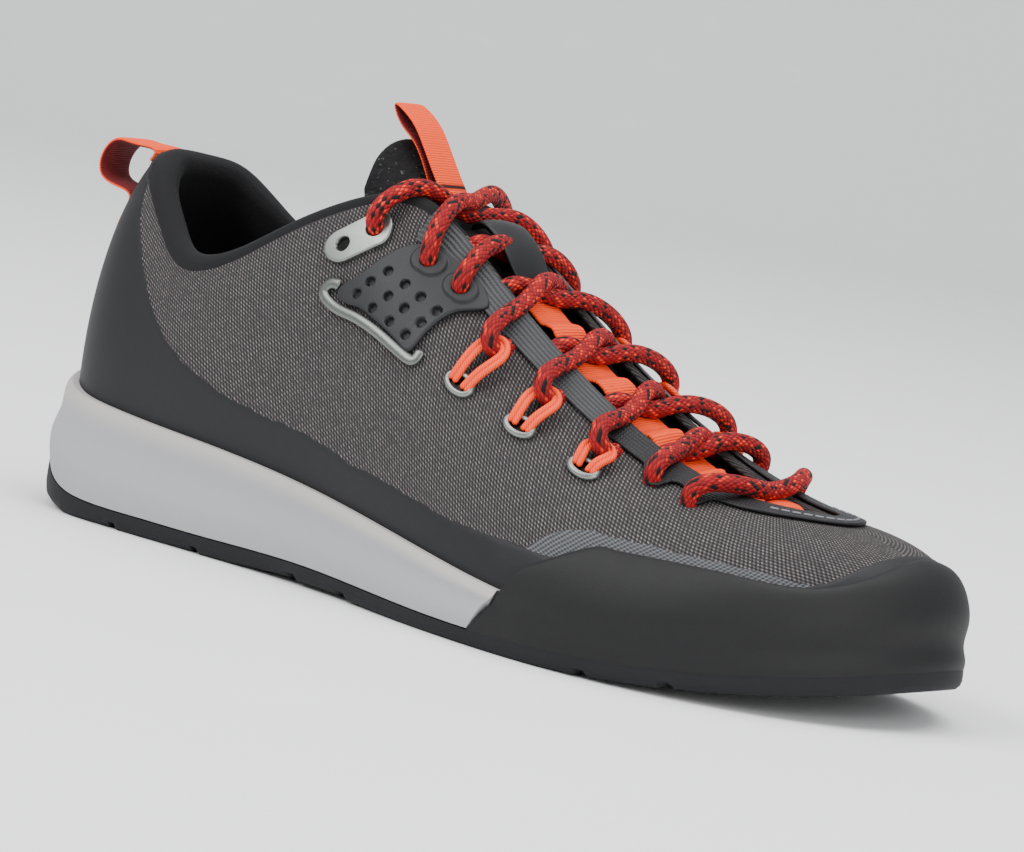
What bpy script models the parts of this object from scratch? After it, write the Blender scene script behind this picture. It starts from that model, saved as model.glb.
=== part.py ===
"""Approach shoe for the right foot, standing empty on its sole.

X runs from the heel to the toe, Y to the inner side of the foot and Z up. The tables are in
millimetres and measure stations from the back of the heel; the origin is on the ground, on the
flat under the heel. Every piece that lies on the upper is cut from the upper's own surface.
"""

import math

import bmesh
import bpy
import numpy as np

MM = 0.001
HEEL_ORIGIN = 50.0
LENGTH = 291.0
GAP = 0.35
OUTER = -1
INNER = 1

# Widths of the sole seen from above.
PLAN = (  # station, half breadth on the outer side, half breadth on the inner side
    (6, 20, 20),
    (22, 32.5, 32),
    (50, 36, 34),
    (85, 37, 31.5),
    (120, 40, 31),
    (155, 47, 38),
    (190, 52.5, 47),
    (220, 52, 50.5),
    (247, 45, 47),
    (268, 33, 39.5),
    (283, 17, 28),
)
TOE_SWING = 7.0

# Side view of the sole and of the line where the upper meets it.
PROFILE = (  # station, ground, outsole top, foam top, feather line
    (0, 9.0, 18.5, 38.0, 24.0),
    (10, 3.4, 12.0, 35.8, 23.8),
    (22, 0.5, 6.9, 33.8, 23.4),
    (34, 0.0, 5.2, 32.7, 23.0),
    (55, 0.0, 4.9, 31.2, 22.2),
    (75, 0.0, 4.9, 30.0, 21.0),
    (115, 1.2, 5.5, 26.4, 17.5),
    (160, 0.0, 4.4, 20.6, 13.0),
    (205, 0.0, 4.4, 15.0, 9.6),
    (235, 1.6, 6.0, 15.0, 10.5),
    (260, 4.4, 9.0, 18.0, 13.6),
    (280, 8.0, 12.8, 22.0, 17.2),
    (291, 11.0, 16.0, 24.0, 20.0),
)
FLATS = ((34.0, 75.0), (160.0, 205.0))

# Outer edge of the collar and throat, where the rounded lip begins.
TOPLINE = (  # foot station, outer side x, y, z, inner side x, y, z
    (0, 18.5, 0, 102, 18.5, 0, 102),
    (6, 21, -11, 101, 21, 11, 101),
    (18, 28.5, -19.5, 96, 28, 19.5, 98.5),
    (36, 39.5, -25.5, 85.8, 38.5, 24.5, 90.5),
    (56, 54, -30.5, 77.0, 51, 28.5, 82),
    (78, 72, -31, 81.8, 68, 29.5, 82),
    (100, 91, -28, 94.2, 88, 27.5, 92.5),
    (122, 112, -22, 104.6, 110, 21, 103.6),
    (140, 127, -17.5, 104.0, 127, 16, 101.2),
    (165, 153, -14.5, 86.5, 153, 14.2, 86),
    (190, 178, -12, 69.5, 178, 14, 70.8),
    (215, 204, -10, 55.5, 204, 13.8, 58),
    (240, 228, -8, 48.2, 228, 12.5, 49.6),
    (262, 243, -5, 46.8, 243, 11, 46.8),
    (280, 250.5, 0, 46.5, 250.5, 8, 46.5),
    (291, 252.5, 4, 46.3, 252.5, 4, 46.3),
)

# How each rib of the upper leaves the sole and arrives at the topline.
RIBS = (  # foot station, rise, bulge, reach, drop, inset of the foot, collar thickness
    (0, 24, 3.2, 13, 18, 6.6, 8.5),
    (10, 24, 2.8, 11, 18, 6.2, 8.5),
    (22, 24, 2.4, 8, 18, 5.2, 8.3),
    (45, 24, 2.7, 3, 16, 4.0, 7.0),
    (72, 24, 4, 3.5, 15, 3.4, 5.0),
    (100, 30, 4, 8, 20, 3.1, 4.0),
    (130, 30, 4.5, 16, 20, 3.0, 3.4),
    (160, 26, 5, 19, 13, 3.3, 2.6),
    (200, 20, 4.5, 22, 8, 3.5, 2.6),
    (235, 17, 4.5, 24, 3.5, 3.5, 2.6),
    (265, 19, 4.5, 24, 2, 3.7, 2.6),
    (291, 20, 3.5, 25, 1, 4.0, 2.6),
)
WALL = 2.2

# The slanted joint between the foam and the toe rubber, at the ball of the foot.
JOINT = 185.5
JOINT_FOOT = 4.7
JOINT_SLOPE = 0.72
JOINT_BLEND_BACK = 40.0
JOINT_BLEND_FRONT = 50.0

# Upper edge of the toe rubber, as a share of the rib.
RAND_TOP = (  # station along the rubber, share on the outer side, share on the inner side
    (186.2, 0.225, 0.225),
    (192, 0.32, 0.32),
    (200, 0.395, 0.39),
    (216, 0.42, 0.41),
    (232, 0.435, 0.42),
    (251, 0.42, 0.41),
    (270, 0.36, 0.37),
    (280, 0.395, 0.395),
    (291, 0.55, 0.55),
)
TOE_EXTRA = -0.5

# Scalloped lower edge of the outsole: it steps down again at the start of each lobe.
LOBES = ((0, 23.0), (23.0, 46.5), (46.5, 78.0), (78.0, 115.5), (115.5, 136.0))
LOBE_STEP = 1.0
EDGE_CHAMFER = 0.9
GROOVES = (46.5, 78.0, 115.5, 136.0, 222.0, 244.0)
GROOVE_HALF = 1.6
GROOVE_WALL = 0.3
GROOVE_DEPTH = 1.2

# Stations at which the rings of each piece are shaped.
HEEL_AT = (0, 1.5, 5, 10, 16)
OUTSOLE_AT = (22.8, 23.2, 34, 62, 75, 97, 126, 148, 160, 175, 190, 205, 234, 258, 270, 280)
FOAM_AT = (22, 28, 34, 45, 55, 65, 75, 88, 102, 115, 130, 145, 155, 165, 175, 181, JOINT)
BED_AT = (192, 205, 220, 235, 248, 260, 270, 280)
RAND_AT = (186.2, 189, 193, 198, 204, 211, 219, 228, 238, 248, 258, 267, 275, 281, 285.5)
UPPER_AT = (23, 31, 40, 50, 60, 70, 80, 91, 102, 112, 122, 131, 140, 150, 163, 178)
VAMP_AT = (193, 208, 222, 234, 245, 256, 266, 275, 281.5)
INSOLE_AT = (24, 36, 50, 68, 88, 110, 135, 160, 182, 203, 222, 238, 253, 266, 276)
EYESTAY_AT = (171, 181, 191, 202, 213, 224, 235, 246, 256, 266, 275, 281.5)
TOE_AT = (286, 288.8, 290.5, LENGTH)
TONGUE_AT = (262, 256, 250, 243, 235, 225, 212, 198, 184, 170, 157, 145, 134)

# Shares of the rib at which the upper's outer and inner surface are shaped.
UPPER_OUTSIDE = (0, 0.07, 0.16, 0.27, 0.39, 0.51, 0.63, 0.74, 0.84, 0.92, 1.0)
UPPER_INSIDE = (1.0, 0.9, 0.8, 0.68, 0.5, 0.25, 0.0)

# Outer surface of the toe rubber over the upper.
RAND_SECTION = (  # share of the way to its upper edge, distance from the upper
    (0.1, 2.9),
    (0.32, 2.9),
    (0.55, 2.8),
    (0.78, 2.6),
    (0.94, 2.2),
    (1.0, 1.3),
)

# Tongue above the throat, where no upper lies over it.
TONGUE_TOP = (  # station, crest height, half breadth and height of the fold, then of the rim
    (123, 104.6, 13.5, 100.2, 20.4, 88.0),
    (113, 110.6, 14.5, 102.5, 20.0, 90.0),
    (105, 116.0, 15.0, 106.5, 19.0, 96.0),
    (100.5, 119.0, 14.0, 112.0, 17.0, 105.0),
)
TONGUE_GUIDES = (  # side, share of the rib, clearance under the upper
    (OUTER, 0.80, 1.2),
    (OUTER, 0.965, 3.0),
    (INNER, 0.965, 3.0),
    (INNER, 0.80, 1.2),
)
TONGUE_CENTRE = 0.3
TONGUE_THICK = 4.0
WEBBING_WIDTH = 12.5
WEBBING_FRONT = 247.0
WEBBING_BACK = 156.0
WEBBING_ARCH = 3.0
ARCH_START = 4.8
ARCH_LENGTH = 4.2

KEEPER_WIDTH = 16.0
KEEPER = (  # station, rise over the tongue
    (132.5, 9.8),
    (135.5, 14.4),
    (139.5, 16.2),
    (143.5, 15.4),
    (146.5, 13.1),
)

# Lace holes and cord loops on the upper, from the ankle to the toe.
LACE_ROWS = (  # foot station, share of the rib, height of the lace centre over the upper
    (127.0, 0.856, 5.0),
    (147.5, 0.830, 5.2),
    (157.5, 0.843, 5.2),
    (172.5, 0.770, 7.7),
    (190.0, 0.780, 7.4),
    (208.5, 0.765, 7.2),
    (222.5, 0.810, 4.4),
    (234.0, 0.790, 4.4),
)
GROMMETS = (  # foot station, share of the rib
    (167.5, 0.610),
    (187.5, 0.645),
    (207.0, 0.675),
)
LACE_RADIUS = 2.7
CROSSING_OVER = 9.4
CROSSING_UNDER = 5.4
EDGE_RISE = 5.4
CORD_RADIUS = 0.9
BAR_RADIUS = 0.8
GROMMET_RADIUS = 0.7
GROMMET_REACH = 2.6
GROMMET_HALF = 4.2
CORD_LOOP = (  # share of the way up to the lace, distance from the middle, height over the grommet
    (0.02, -1.2, 1.7),
    (0.26, -2.4, 2.3),
    (0.7, -3.8, 1.0),
    (0.95, -2.7, 0.6),
    (1.05, 0.0, 0.5),
)

# Corners of the plates on the upper's surface.
LACE_PLATE = (  # foot station, share of the rib
    (120.5, 0.655),
    (151.5, 0.585),
    (164.5, 0.905),
    (143.5, 0.870),
)
EYELET_PLATE = (
    (111.5, 0.852),
    (118.0, 0.755),
    (134.5, 0.840),
    (126.0, 0.920),
)
SLOT_BAR = (  # foot station, share of the rib
    (118.3, 0.678),
    (115.2, 0.664),
    (118.0, 0.625),
    (128.0, 0.592),
    (140.0, 0.566),
    (149.0, 0.552),
    (153.8, 0.577),
)


def spline(knots, values, at, period=None):
    """Cubic spline through the values at the knots, periodic if a period is given."""
    knots = np.asarray(knots, float)
    values = np.asarray(values, float).reshape(len(knots), -1)
    count = len(knots)
    at = np.asarray(at, float)
    if period:
        ends = np.append(knots, knots[0] + period)
        at = np.mod(at - knots[0], period) + knots[0]
    else:
        ends = knots
    step = np.diff(ends)
    matrix = np.eye(count)
    right = np.zeros_like(values)
    for i in range(0 if period else 1, count if period else count - 1):
        before, after = (i - 1) % count, (i + 1) % count
        matrix[i] = 0
        matrix[i, before] += step[i - 1]
        matrix[i, i] += 2 * (step[i - 1] + step[i])
        matrix[i, after] += step[i]
        rise = (values[after] - values[i]) / step[i]
        fall = (values[i] - values[before]) / step[i - 1]
        right[i] = 6 * (rise - fall)
    bend = np.linalg.solve(matrix, right)
    low = np.clip(np.searchsorted(ends, at, side="right") - 1, 0, len(step) - 1)
    high = (low + 1) % count
    width = step[low][:, None]
    a = (at - ends[low])[:, None]
    b = width - a
    cubic = (bend[low] * b**3 + bend[high] * a**3) / (6 * width)
    line = (values[low] / width - bend[low] * width / 6) * b
    return cubic + line + (values[high] / width - bend[high] * width / 6) * a


def smooth(value):
    value = np.clip(value, 0.0, 1.0)
    return value * value * (3 - 2 * value)


def column(table, index, at):
    """One column of a station table, read smoothly at the given stations."""
    rows = np.array(table, float)
    return spline(rows[:, 0], rows[:, index], np.ravel(at))[:, 0].reshape(np.shape(at))


def angle(station, side=OUTER):
    """Angle round the foot: 0 at the heel, pi at the toe, beyond it on the inner side."""
    share = np.clip(1 - 2 * np.asarray(station, float) / LENGTH, -1, 1)
    turn = np.arccos(share)
    return turn if side == OUTER else 2 * math.pi - turn


def station(theta):
    return LENGTH / 2 * (1 - np.cos(theta))


def around(stations):
    """Angles of a closed ring that has the same stations on both sides."""
    outer = angle(np.array(stations, float))
    return np.concatenate([outer, 2 * math.pi - outer[1:-1][::-1]])


def sided(table, outer, inner):
    """Angles and values of a table whose columns give the outer and the inner side."""
    rows = np.array(table, float)
    knots = [angle(row[0]) for row in rows]
    values = [row[list(outer)] for row in rows]
    for row in rows[::-1]:
        if 0 < row[0] < LENGTH:
            knots.append(2 * math.pi - angle(row[0]))
            values.append(row[list(inner)])
    return np.array(knots), np.array(values)


def plan(theta):
    rows = [(0, 0, 0)] + [(x, -a, b) for x, a, b in PLAN] + [(LENGTH, TOE_SWING, TOE_SWING)]
    knots, values = sided(rows, (1,), (2,))
    y = spline(knots, values, np.ravel(theta), 2 * math.pi)[:, 0].reshape(np.shape(theta))
    return np.stack([station(theta), y], -1)


def plan_normal(theta):
    """Level direction pointing away from the foot."""
    nudge = 1e-4
    run = plan(theta + nudge) - plan(theta - nudge)
    out = np.stack([run[..., 1], -run[..., 0]], -1)
    return out / np.linalg.norm(out, axis=-1, keepdims=True)


def ring(theta, offset, height):
    """Points outside the sole's outline; the height is given for each station reached."""
    points = plan(theta) + plan_normal(theta) * np.reshape(offset * np.ones_like(theta), (-1, 1))
    reached = np.clip(points[:, 0], 0, LENGTH)
    return np.column_stack([points, height(reached)])


def profile(index, rise=0.0):
    """A line of the side view as a function of the station."""
    return lambda x: column(PROFILE, index, x) + rise


def rib(theta, share):
    """Outer surface of the upper: a Bezier arc from the feather line up to the topline."""
    shape = np.shape(theta)
    theta = np.ravel(theta)
    share = np.ravel(share)[:, None]
    x = station(theta)
    foot = ring(theta, -column(RIBS, 5, x), profile(4))
    knots, values = sided(TOPLINE, (1, 2, 3), (4, 5, 6))
    top = spline(knots, values, theta, 2 * math.pi)
    out = np.column_stack([plan_normal(theta), np.zeros_like(theta)])
    up = np.array([0, 0, 1.0])
    first = foot + column(RIBS, 1, x)[:, None] * up + column(RIBS, 2, x)[:, None] * out
    second = top + column(RIBS, 3, x)[:, None] * out - column(RIBS, 4, x)[:, None] * up
    rest = 1 - share
    points = foot * rest**3 + 3 * first * share * rest**2 + 3 * second * share**2 * rest + top * share**3
    return points.reshape(shape + (3,))


def rib_normal(theta, share):
    """Direction square to the upper, pointing out of the shoe."""
    nudge = 1e-3
    along = rib(theta + nudge, share) - rib(theta - nudge, share)
    rise = rib(theta, share + nudge) - rib(theta, share - nudge)
    out = np.cross(along, rise)
    return out / np.linalg.norm(out, axis=-1, keepdims=True)


def skin(theta, share, lift):
    """Points at a distance outside the upper."""
    theta, share, lift = np.broadcast_arrays(theta, share, lift)
    theta, share = theta.astype(float), share.astype(float)
    return rib(theta, share) + rib_normal(theta, share) * lift[..., None]


def share_at(theta, height):
    """Share of each rib at which the upper reaches a height."""
    steps = np.linspace(0, 0.6, 61)
    grid = rib(np.repeat(theta[:, None], 61, 1), np.repeat(steps[None], len(theta), 0))[..., 2]
    return np.array([np.interp(z, row, steps) for z, row in zip(height * np.ones_like(theta), grid)])


def leaned(theta, height):
    """Angles moved along the slanted joint for a line of the sole given by its height."""
    x = station(theta)
    back = smooth((x - JOINT + JOINT_BLEND_BACK) / JOINT_BLEND_BACK)
    front = 1 - smooth((x - JOINT - 1) / JOINT_BLEND_FRONT)
    moved = x
    for _ in range(6):
        moved = x + JOINT_SLOPE * back * front * (height(moved) - JOINT_FOOT)
    return np.where(theta <= math.pi, angle(moved), 2 * math.pi - angle(moved))


def material(name, colour, roughness, metallic=0.0):
    made = bpy.data.materials.new(name)
    made.use_nodes = True
    shader = made.node_tree.nodes["Principled BSDF"]
    shader.inputs["Base Color"].default_value = (*colour, 1.0)
    shader.inputs["Roughness"].default_value = roughness
    shader.inputs["Metallic"].default_value = metallic
    made.diffuse_color = (*colour, 1.0)
    return made


def add_object(name, mesh, look):
    """Put a closed mesh into the shoe's collection."""
    work = bmesh.new()
    work.from_mesh(mesh)
    bmesh.ops.remove_doubles(work, verts=work.verts, dist=0.00001)
    bmesh.ops.recalc_face_normals(work, faces=work.faces)
    work.to_mesh(mesh)
    work.free()
    mesh.materials.clear()
    mesh.materials.append(look)
    made = bpy.data.objects.new(name, mesh)
    bpy.data.collections["approach_shoe"].objects.link(made)
    return made


def mesh_from(name, points, faces):
    points = (np.asarray(points, float) - (HEEL_ORIGIN, 0, 0)) * MM
    mesh = bpy.data.meshes.new(name)
    mesh.from_pydata([tuple(p) for p in points], [], faces)
    mesh.update()
    return mesh


def loft(name, rings, look, tube=False):
    """Skin closed rings; the first and last are closed by strips between equal stations."""
    count = len(rings[0])
    faces = []
    for j in range(len(rings) if tube else len(rings) - 1):
        low, high = j * count, (j + 1) % len(rings) * count
        for i in range(count):
            k = (i + 1) % count
            faces.append((low + i, low + k, high + k, high + i))
    if not tube:
        half = count // 2
        for base in (0, (len(rings) - 1) * count):
            for k in range(half):
                strip = [base + k, base + k + 1, base + (count - k - 1) % count, base + (count - k) % count]
                faces.append(tuple(dict.fromkeys(strip)))
    return add_object(name, mesh_from(name, np.concatenate(rings), faces), look)


def evaluated(source):
    """Mesh of an object with its modifiers applied; the object is removed."""
    graph = bpy.context.evaluated_depsgraph_get()
    mesh = bpy.data.meshes.new_from_object(source.evaluated_get(graph))
    bpy.data.objects.remove(source)
    return mesh


def sheet(name, grid, thickness, look):
    """Thicken a grid of points; the sign of the thickness says to which side."""
    rows, columns = grid.shape[:2]
    faces = []
    for i in range(rows - 1):
        for j in range(columns - 1):
            corner = i * columns + j
            faces.append((corner, corner + columns, corner + columns + 1, corner + 1))
    source = bpy.data.objects.new(name, mesh_from(name, grid.reshape(-1, 3), faces))
    bpy.context.scene.collection.objects.link(source)
    solid = source.modifiers.new("thickness", "SOLIDIFY")
    solid.thickness = abs(thickness) * MM
    solid.offset = 1.0 if thickness > 0 else -1.0
    solid.use_even_offset = False
    bpy.context.view_layer.update()
    return add_object(name, evaluated(source), look)


def cord_mesh(name, points, radius, closed=False, resolution=1):
    """Round cord along a line of points."""
    curve = bpy.data.curves.new(name, "CURVE")
    curve.dimensions = "3D"
    curve.bevel_depth = radius * MM
    curve.bevel_resolution = resolution
    curve.use_fill_caps = not closed
    line = curve.splines.new("POLY")
    points = (np.asarray(points, float) - (HEEL_ORIGIN, 0, 0)) * MM
    line.points.add(len(points) - 1)
    line.points.foreach_set("co", np.column_stack([points, np.ones(len(points))]).ravel())
    line.use_cyclic_u = closed
    source = bpy.data.objects.new(name, curve)
    bpy.context.scene.collection.objects.link(source)
    bpy.context.view_layer.update()
    mesh = evaluated(source)
    work = bmesh.new()
    work.from_mesh(mesh)
    bmesh.ops.remove_doubles(work, verts=work.verts, dist=0.00001)
    bmesh.ops.recalc_face_normals(work, faces=work.faces)
    work.to_mesh(mesh)
    work.free()
    return mesh


def joined(name, first, second, look):
    """Union of two cords that touch."""
    body = bpy.data.objects.new(name, first)
    other = bpy.data.objects.new(name + "_cutter", second)
    bpy.context.scene.collection.objects.link(body)
    bpy.data.collections["approach_shoe_cutters"].objects.link(other)
    union = body.modifiers.new("join", "BOOLEAN")
    union.operation = "UNION"
    union.solver = "EXACT"
    union.object = other
    bpy.context.view_layer.update()
    mesh = evaluated(body)
    bpy.data.objects.remove(other)
    return add_object(name, mesh, look)


def through(points, count):
    """Evenly spread points on a smooth line through a few points."""
    points = np.asarray(points, float)
    run = np.concatenate([[0], np.cumsum(np.linalg.norm(np.diff(points, axis=0), axis=1))])
    return spline(run, points, np.linspace(0, run[-1], count))


def ground_line(x):
    ground = column(PROFILE, 1, x)
    for start, end in FLATS:
        ground = np.where((x > start - 0.1) & (x < end + 0.1), 0.0, ground)
    for groove in GROOVES:
        ground = np.where(np.abs(x - groove) < GROOVE_HALF - GROOVE_WALL / 2, ground + GROOVE_DEPTH, ground)
    return ground


def chamfer_line(x):
    """Height of the lower edge's chamfer, growing along each lobe and stepping back at its end."""
    chamfer = np.full_like(x, EDGE_CHAMFER)
    for start, end in LOBES:
        inside = (x > start) & (x <= end)
        chamfer = np.where(inside, EDGE_CHAMFER + LOBE_STEP * ((x - start) / (end - start)) ** 2, chamfer)
    return chamfer


def make_outsole(look):
    marks = list(HEEL_AT + OUTSOLE_AT + TOE_AT)
    for groove in GROOVES:
        for wall in (-GROOVE_HALF, GROOVE_HALF):
            marks += [groove + wall, groove + wall - math.copysign(GROOVE_WALL, wall)]
    theta = around(sorted(set(marks)))
    chamfer = chamfer_line(station(theta))
    rings = [
        ring(theta, -2.6, ground_line),
        ring(theta, -0.9 - 0.4 * chamfer, lambda x: ground_line(x) + 0.35 * (chamfer - EDGE_CHAMFER)),
        ring(theta, -0.3, lambda x: ground_line(x) + chamfer),
        ring(theta, 0.0, lambda x: 0.45 * column(PROFILE, 1, x) + 0.55 * column(PROFILE, 2, x)),
        ring(theta, -0.1, profile(2)),
    ]
    return loft("outsole", rings, look)


def make_midsole(look):
    base = around(HEEL_AT + FOAM_AT + (JOINT + 0.3,) + BED_AT + TOE_AT)
    foam = station(base) < JOINT + 0.1
    low, floor, rim = profile(2, GAP), profile(4, -GAP), profile(3)

    def between(share):
        return lambda x: (1 - share) * low(x) + share * rim(x)

    def line(height, foam_point, bed_offset, bed_height):
        """One line of the midsole: foam behind the joint, a thin bed in front of it."""
        behind = leaned(base, height)
        ahead = leaned(base, bed_height)
        bed = ring(ahead, bed_offset - column(RIBS, 5, station(ahead)), bed_height)
        return np.where(foam[:, None], foam_point(behind, height), bed)

    def flush(offset):
        return lambda theta, height: ring(theta, offset, height)

    def beside(lift, drop=0.0):
        def at(theta, height):
            z = height(station(theta))
            points = skin(theta, share_at(theta, z), lift)
            points[:, 2] = z - drop
            return points

        return at

    def shoulder(theta, height):
        return 0.35 * ring(theta, 0.9, height) + 0.65 * beside(3.4)(theta, height)

    def sill(theta, height):
        points = skin(theta, 0.0, GAP)
        points[:, 2] = height(np.clip(points[:, 0], 0, LENGTH))
        return points

    rings = [
        line(low, flush(-0.2), 0.25, low),
        line(between(0.3), flush(0.7), 0.25, lambda x: 0.5 * low(x) + 0.5 * floor(x)),
        line(between(0.68), shoulder, GAP, floor),
        line(rim, beside(3.0, 0.9), GAP, floor),
        line(rim, beside(2.2), GAP, floor),
        line(rim, beside(GAP), GAP, floor),
        line(between(0.82), beside(GAP), GAP, floor),
        line(floor, sill, -1.0, floor),
        line(floor, flush(-9.0), -5.5, floor),
    ]
    return loft("midsole", rings, look)


def rand_theta():
    outer = angle(np.array(RAND_AT + TOE_AT[1:]))
    return np.concatenate([outer, 2 * math.pi - outer[:-1][::-1]])


def make_rand(look):
    base = rand_theta()
    knots, values = sided([(0, 0.2, 0.2)] + list(RAND_TOP), (1,), (2,))
    top = spline(knots, values, base, 2 * math.pi)[:, 0]
    toe = smooth((station(base) - 262) / 28)

    def moved(share):
        reach = rib(base, share * np.ones_like(base))[:, 2]
        return leaned(base, lambda x: reach * np.ones_like(x))

    low = profile(2, GAP)
    foot = leaned(base, low)
    out = [ring(foot, -0.1, low)]
    inn = [ring(foot, -2.75, low)]

    def halfway(x):
        return 0.5 * low(x) + 0.5 * column(PROFILE, 4, x)

    mid = leaned(base, halfway)
    out.append(ring(mid, 0.25 - 0.3 * toe, halfway))
    inn.append(ring(mid, -2.85, halfway))
    for part, lift in RAND_SECTION:
        turn = moved(part * top)
        extra = TOE_EXTRA * toe * (1 - part) ** 1.5
        out.append(skin(turn, part * top, lift + extra))
        inn.append(skin(turn, part * top * 0.999, GAP))
    lines = np.stack(out + inn[::-1], 1)
    count, width = lines.shape[:2]
    faces = []
    for i in range(count - 1):
        for j in range(width):
            k = (j + 1) % width
            faces.append((i * width + j, (i + 1) * width + j, (i + 1) * width + k, i * width + k))
    last = (count - 1) * width
    for j in range(width // 2 - 1):
        other = width - 1 - j
        faces.append((j, j + 1, other - 1, other))
        faces.append((last + j, last + other, last + other - 1, last + j + 1))
    return add_object("rand", mesh_from("rand", lines.reshape(-1, 3), faces), look)


def collar_thickness(theta, share):
    """Wall of the upper, padded towards the collar."""
    pad = column(RIBS, 6, station(theta))
    return WALL + (pad - WALL) * smooth((share - 0.5) / 0.42)


def make_upper(look):
    theta = around(HEEL_AT + UPPER_AT + VAMP_AT + TOE_AT)
    one = np.ones_like(theta)
    rings = [skin(theta, v * one, 0 * one) for v in UPPER_OUTSIDE]
    edge = rib(theta, one)
    out = rib_normal(theta, one)
    rise = edge - rib(theta, 0.98 * one)
    rise /= np.linalg.norm(rise, axis=1, keepdims=True)
    radius = (collar_thickness(theta, one) / 2)[:, None]
    for turn in (50, 90, 130):
        swing = math.radians(turn)
        rings.append(edge - out * radius + radius * (math.cos(swing) * out + math.sin(swing) * rise))
    for v in UPPER_INSIDE:
        rings.append(skin(theta, v * one, -collar_thickness(theta, v * one)))
    return loft("upper", rings, look, tube=True)


def make_insole(look):
    theta = around(HEEL_AT + INSOLE_AT + TOE_AT)
    inset = column(RIBS, 5, station(theta)) + WALL + GAP + 0.3

    def bed(rise, cupped):
        return lambda x: column(PROFILE, 4, x) + rise + cupped * smooth((70 - x) / 60)

    rings = [
        ring(theta, -inset - 0.8, bed(0.0, 0.0)),
        ring(theta, -inset, bed(0.8, 0.0)),
        ring(theta, -inset, bed(3.4, 1.6)),
        ring(theta, -inset - 1.2, bed(4.0, 1.6)),
        ring(theta, -inset - 7.0, bed(4.0, 0.3)),
    ]
    return loft("insole", rings, look)


def throat_share(x):
    """Share of the toe rib at which the vamp ends over station x; 1 along the throat."""
    steps = np.linspace(0.3, 1, 141)
    toe = rib(np.full(141, math.pi), steps)[:, 0]
    return float(np.interp(-x, -toe, steps))


def wall_point(x, side, share, depth):
    """Point at a depth inside the upper above station x, at a share of the rib."""
    stations = np.linspace(60, LENGTH, 465)
    theta = angle(stations, side)
    points = rib(theta, np.full_like(theta, share))
    found = np.interp(x, points[:, 0], theta if side == OUTER else -theta)
    return skin(np.array([abs(found)]), share, -depth)[0]


def tongue_guides():
    """Five guide points across the tongue at each station, from the toe to the top."""
    rows = []
    for x in TONGUE_AT:
        limit = throat_share(x)
        if x < 252:
            limit = 1.0
        row = []
        for side, share, depth in TONGUE_GUIDES:
            clear = 1.0 + (depth - 1.0) * smooth((258 - x) / 14)
            point = wall_point(x, side, share * limit, collar_thickness(angle(x), share) + clear)
            row.append(np.array([x, point[1], point[2]]))
        lift = 1.2 * smooth((249 - x) / 14) + 1.0 * smooth((170 - x) / 20)
        middle = (row[1] + row[2]) / 2 + (0, 0, lift)
        rows.append([row[0], row[1], middle, row[2], row[3]])
    for x, crest, inner, inner_z, rim, rim_z in TONGUE_TOP:
        breadths = TONGUE_CENTRE + np.array([-rim, -inner, 0, inner, rim])
        heights = (rim_z, inner_z, crest, inner_z, rim_z)
        rows.append([np.array([x, y, z]) for y, z in zip(breadths, heights)])
    return np.array(rows)


def tongue_surface(lengthwise, across):
    """Smooth grid through the tongue's guide points."""
    guides = tongue_guides()
    crest = guides[:, 2]
    run = np.concatenate([[0], np.cumsum(np.linalg.norm(np.diff(crest, axis=0), axis=1))])
    at = np.linspace(0, run[-1], lengthwise)
    lines = np.stack([spline(run, guides[:, k], at) for k in range(5)], 1)
    return np.stack([through(line, across) for line in lines])


def make_tongue(look):
    return sheet("tongue", tongue_surface(21, 9), TONGUE_THICK, look)


def tongue_middle(crest, x):
    """Point of the tongue's middle line over station x."""
    return np.array([x, np.interp(x, crest[:, 0], crest[:, 1]), np.interp(x, crest[:, 0], crest[:, 2])])


def tongue_crest():
    """Middle line of the tongue, ordered by station."""
    middle = tongue_surface(80, 11)[:, 5]
    return middle[np.argsort(middle[:, 0])]


def patch(corners, side, rows, columns, lift, rounding=0.3):
    """Grid on the upper between four corners, with the corners taken in."""
    corners = np.array(corners, float)
    s = np.linspace(0, 1, rows)[:, None, None]
    t = np.linspace(0, 1, columns)[None, :, None]
    grid = (1 - s) * ((1 - t) * corners[0] + t * corners[3]) + s * ((1 - t) * corners[1] + t * corners[2])
    for i, j in ((0, 0), (0, -1), (-1, 0), (-1, -1)):
        inward = grid[1 if i == 0 else -2, 1 if j == 0 else -2]
        grid[i, j] += (inward - grid[i, j]) * rounding
    points = skin(angle(grid[..., 0], side), grid[..., 1], lift)
    return points if side == OUTER else points[:, ::-1]


def side_name(side):
    return "outer" if side == OUTER else "inner"


def make_eyestay(look):
    outer = angle(np.array(EYESTAY_AT + TOE_AT))
    theta = np.concatenate([outer, 2 * math.pi - outer[:-1][::-1]])
    x = station(theta)
    low = 0.86 + 0.03 * smooth((x - 235) / 40)
    shares = np.linspace(low, 0.99, 3).T
    grid = skin(np.repeat(theta[:, None], 3, 1), shares, GAP)
    return sheet("eyestay", grid, 0.8, look)


def lace_hole(row, side):
    x, share, lift = LACE_ROWS[row]
    return skin(np.array([angle(x, side)]), share, lift)[0]


def throat_edge(x, side):
    """Point of the throat's edge over station x."""
    return wall_point(x, side, 1.0, 0.0)


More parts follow.
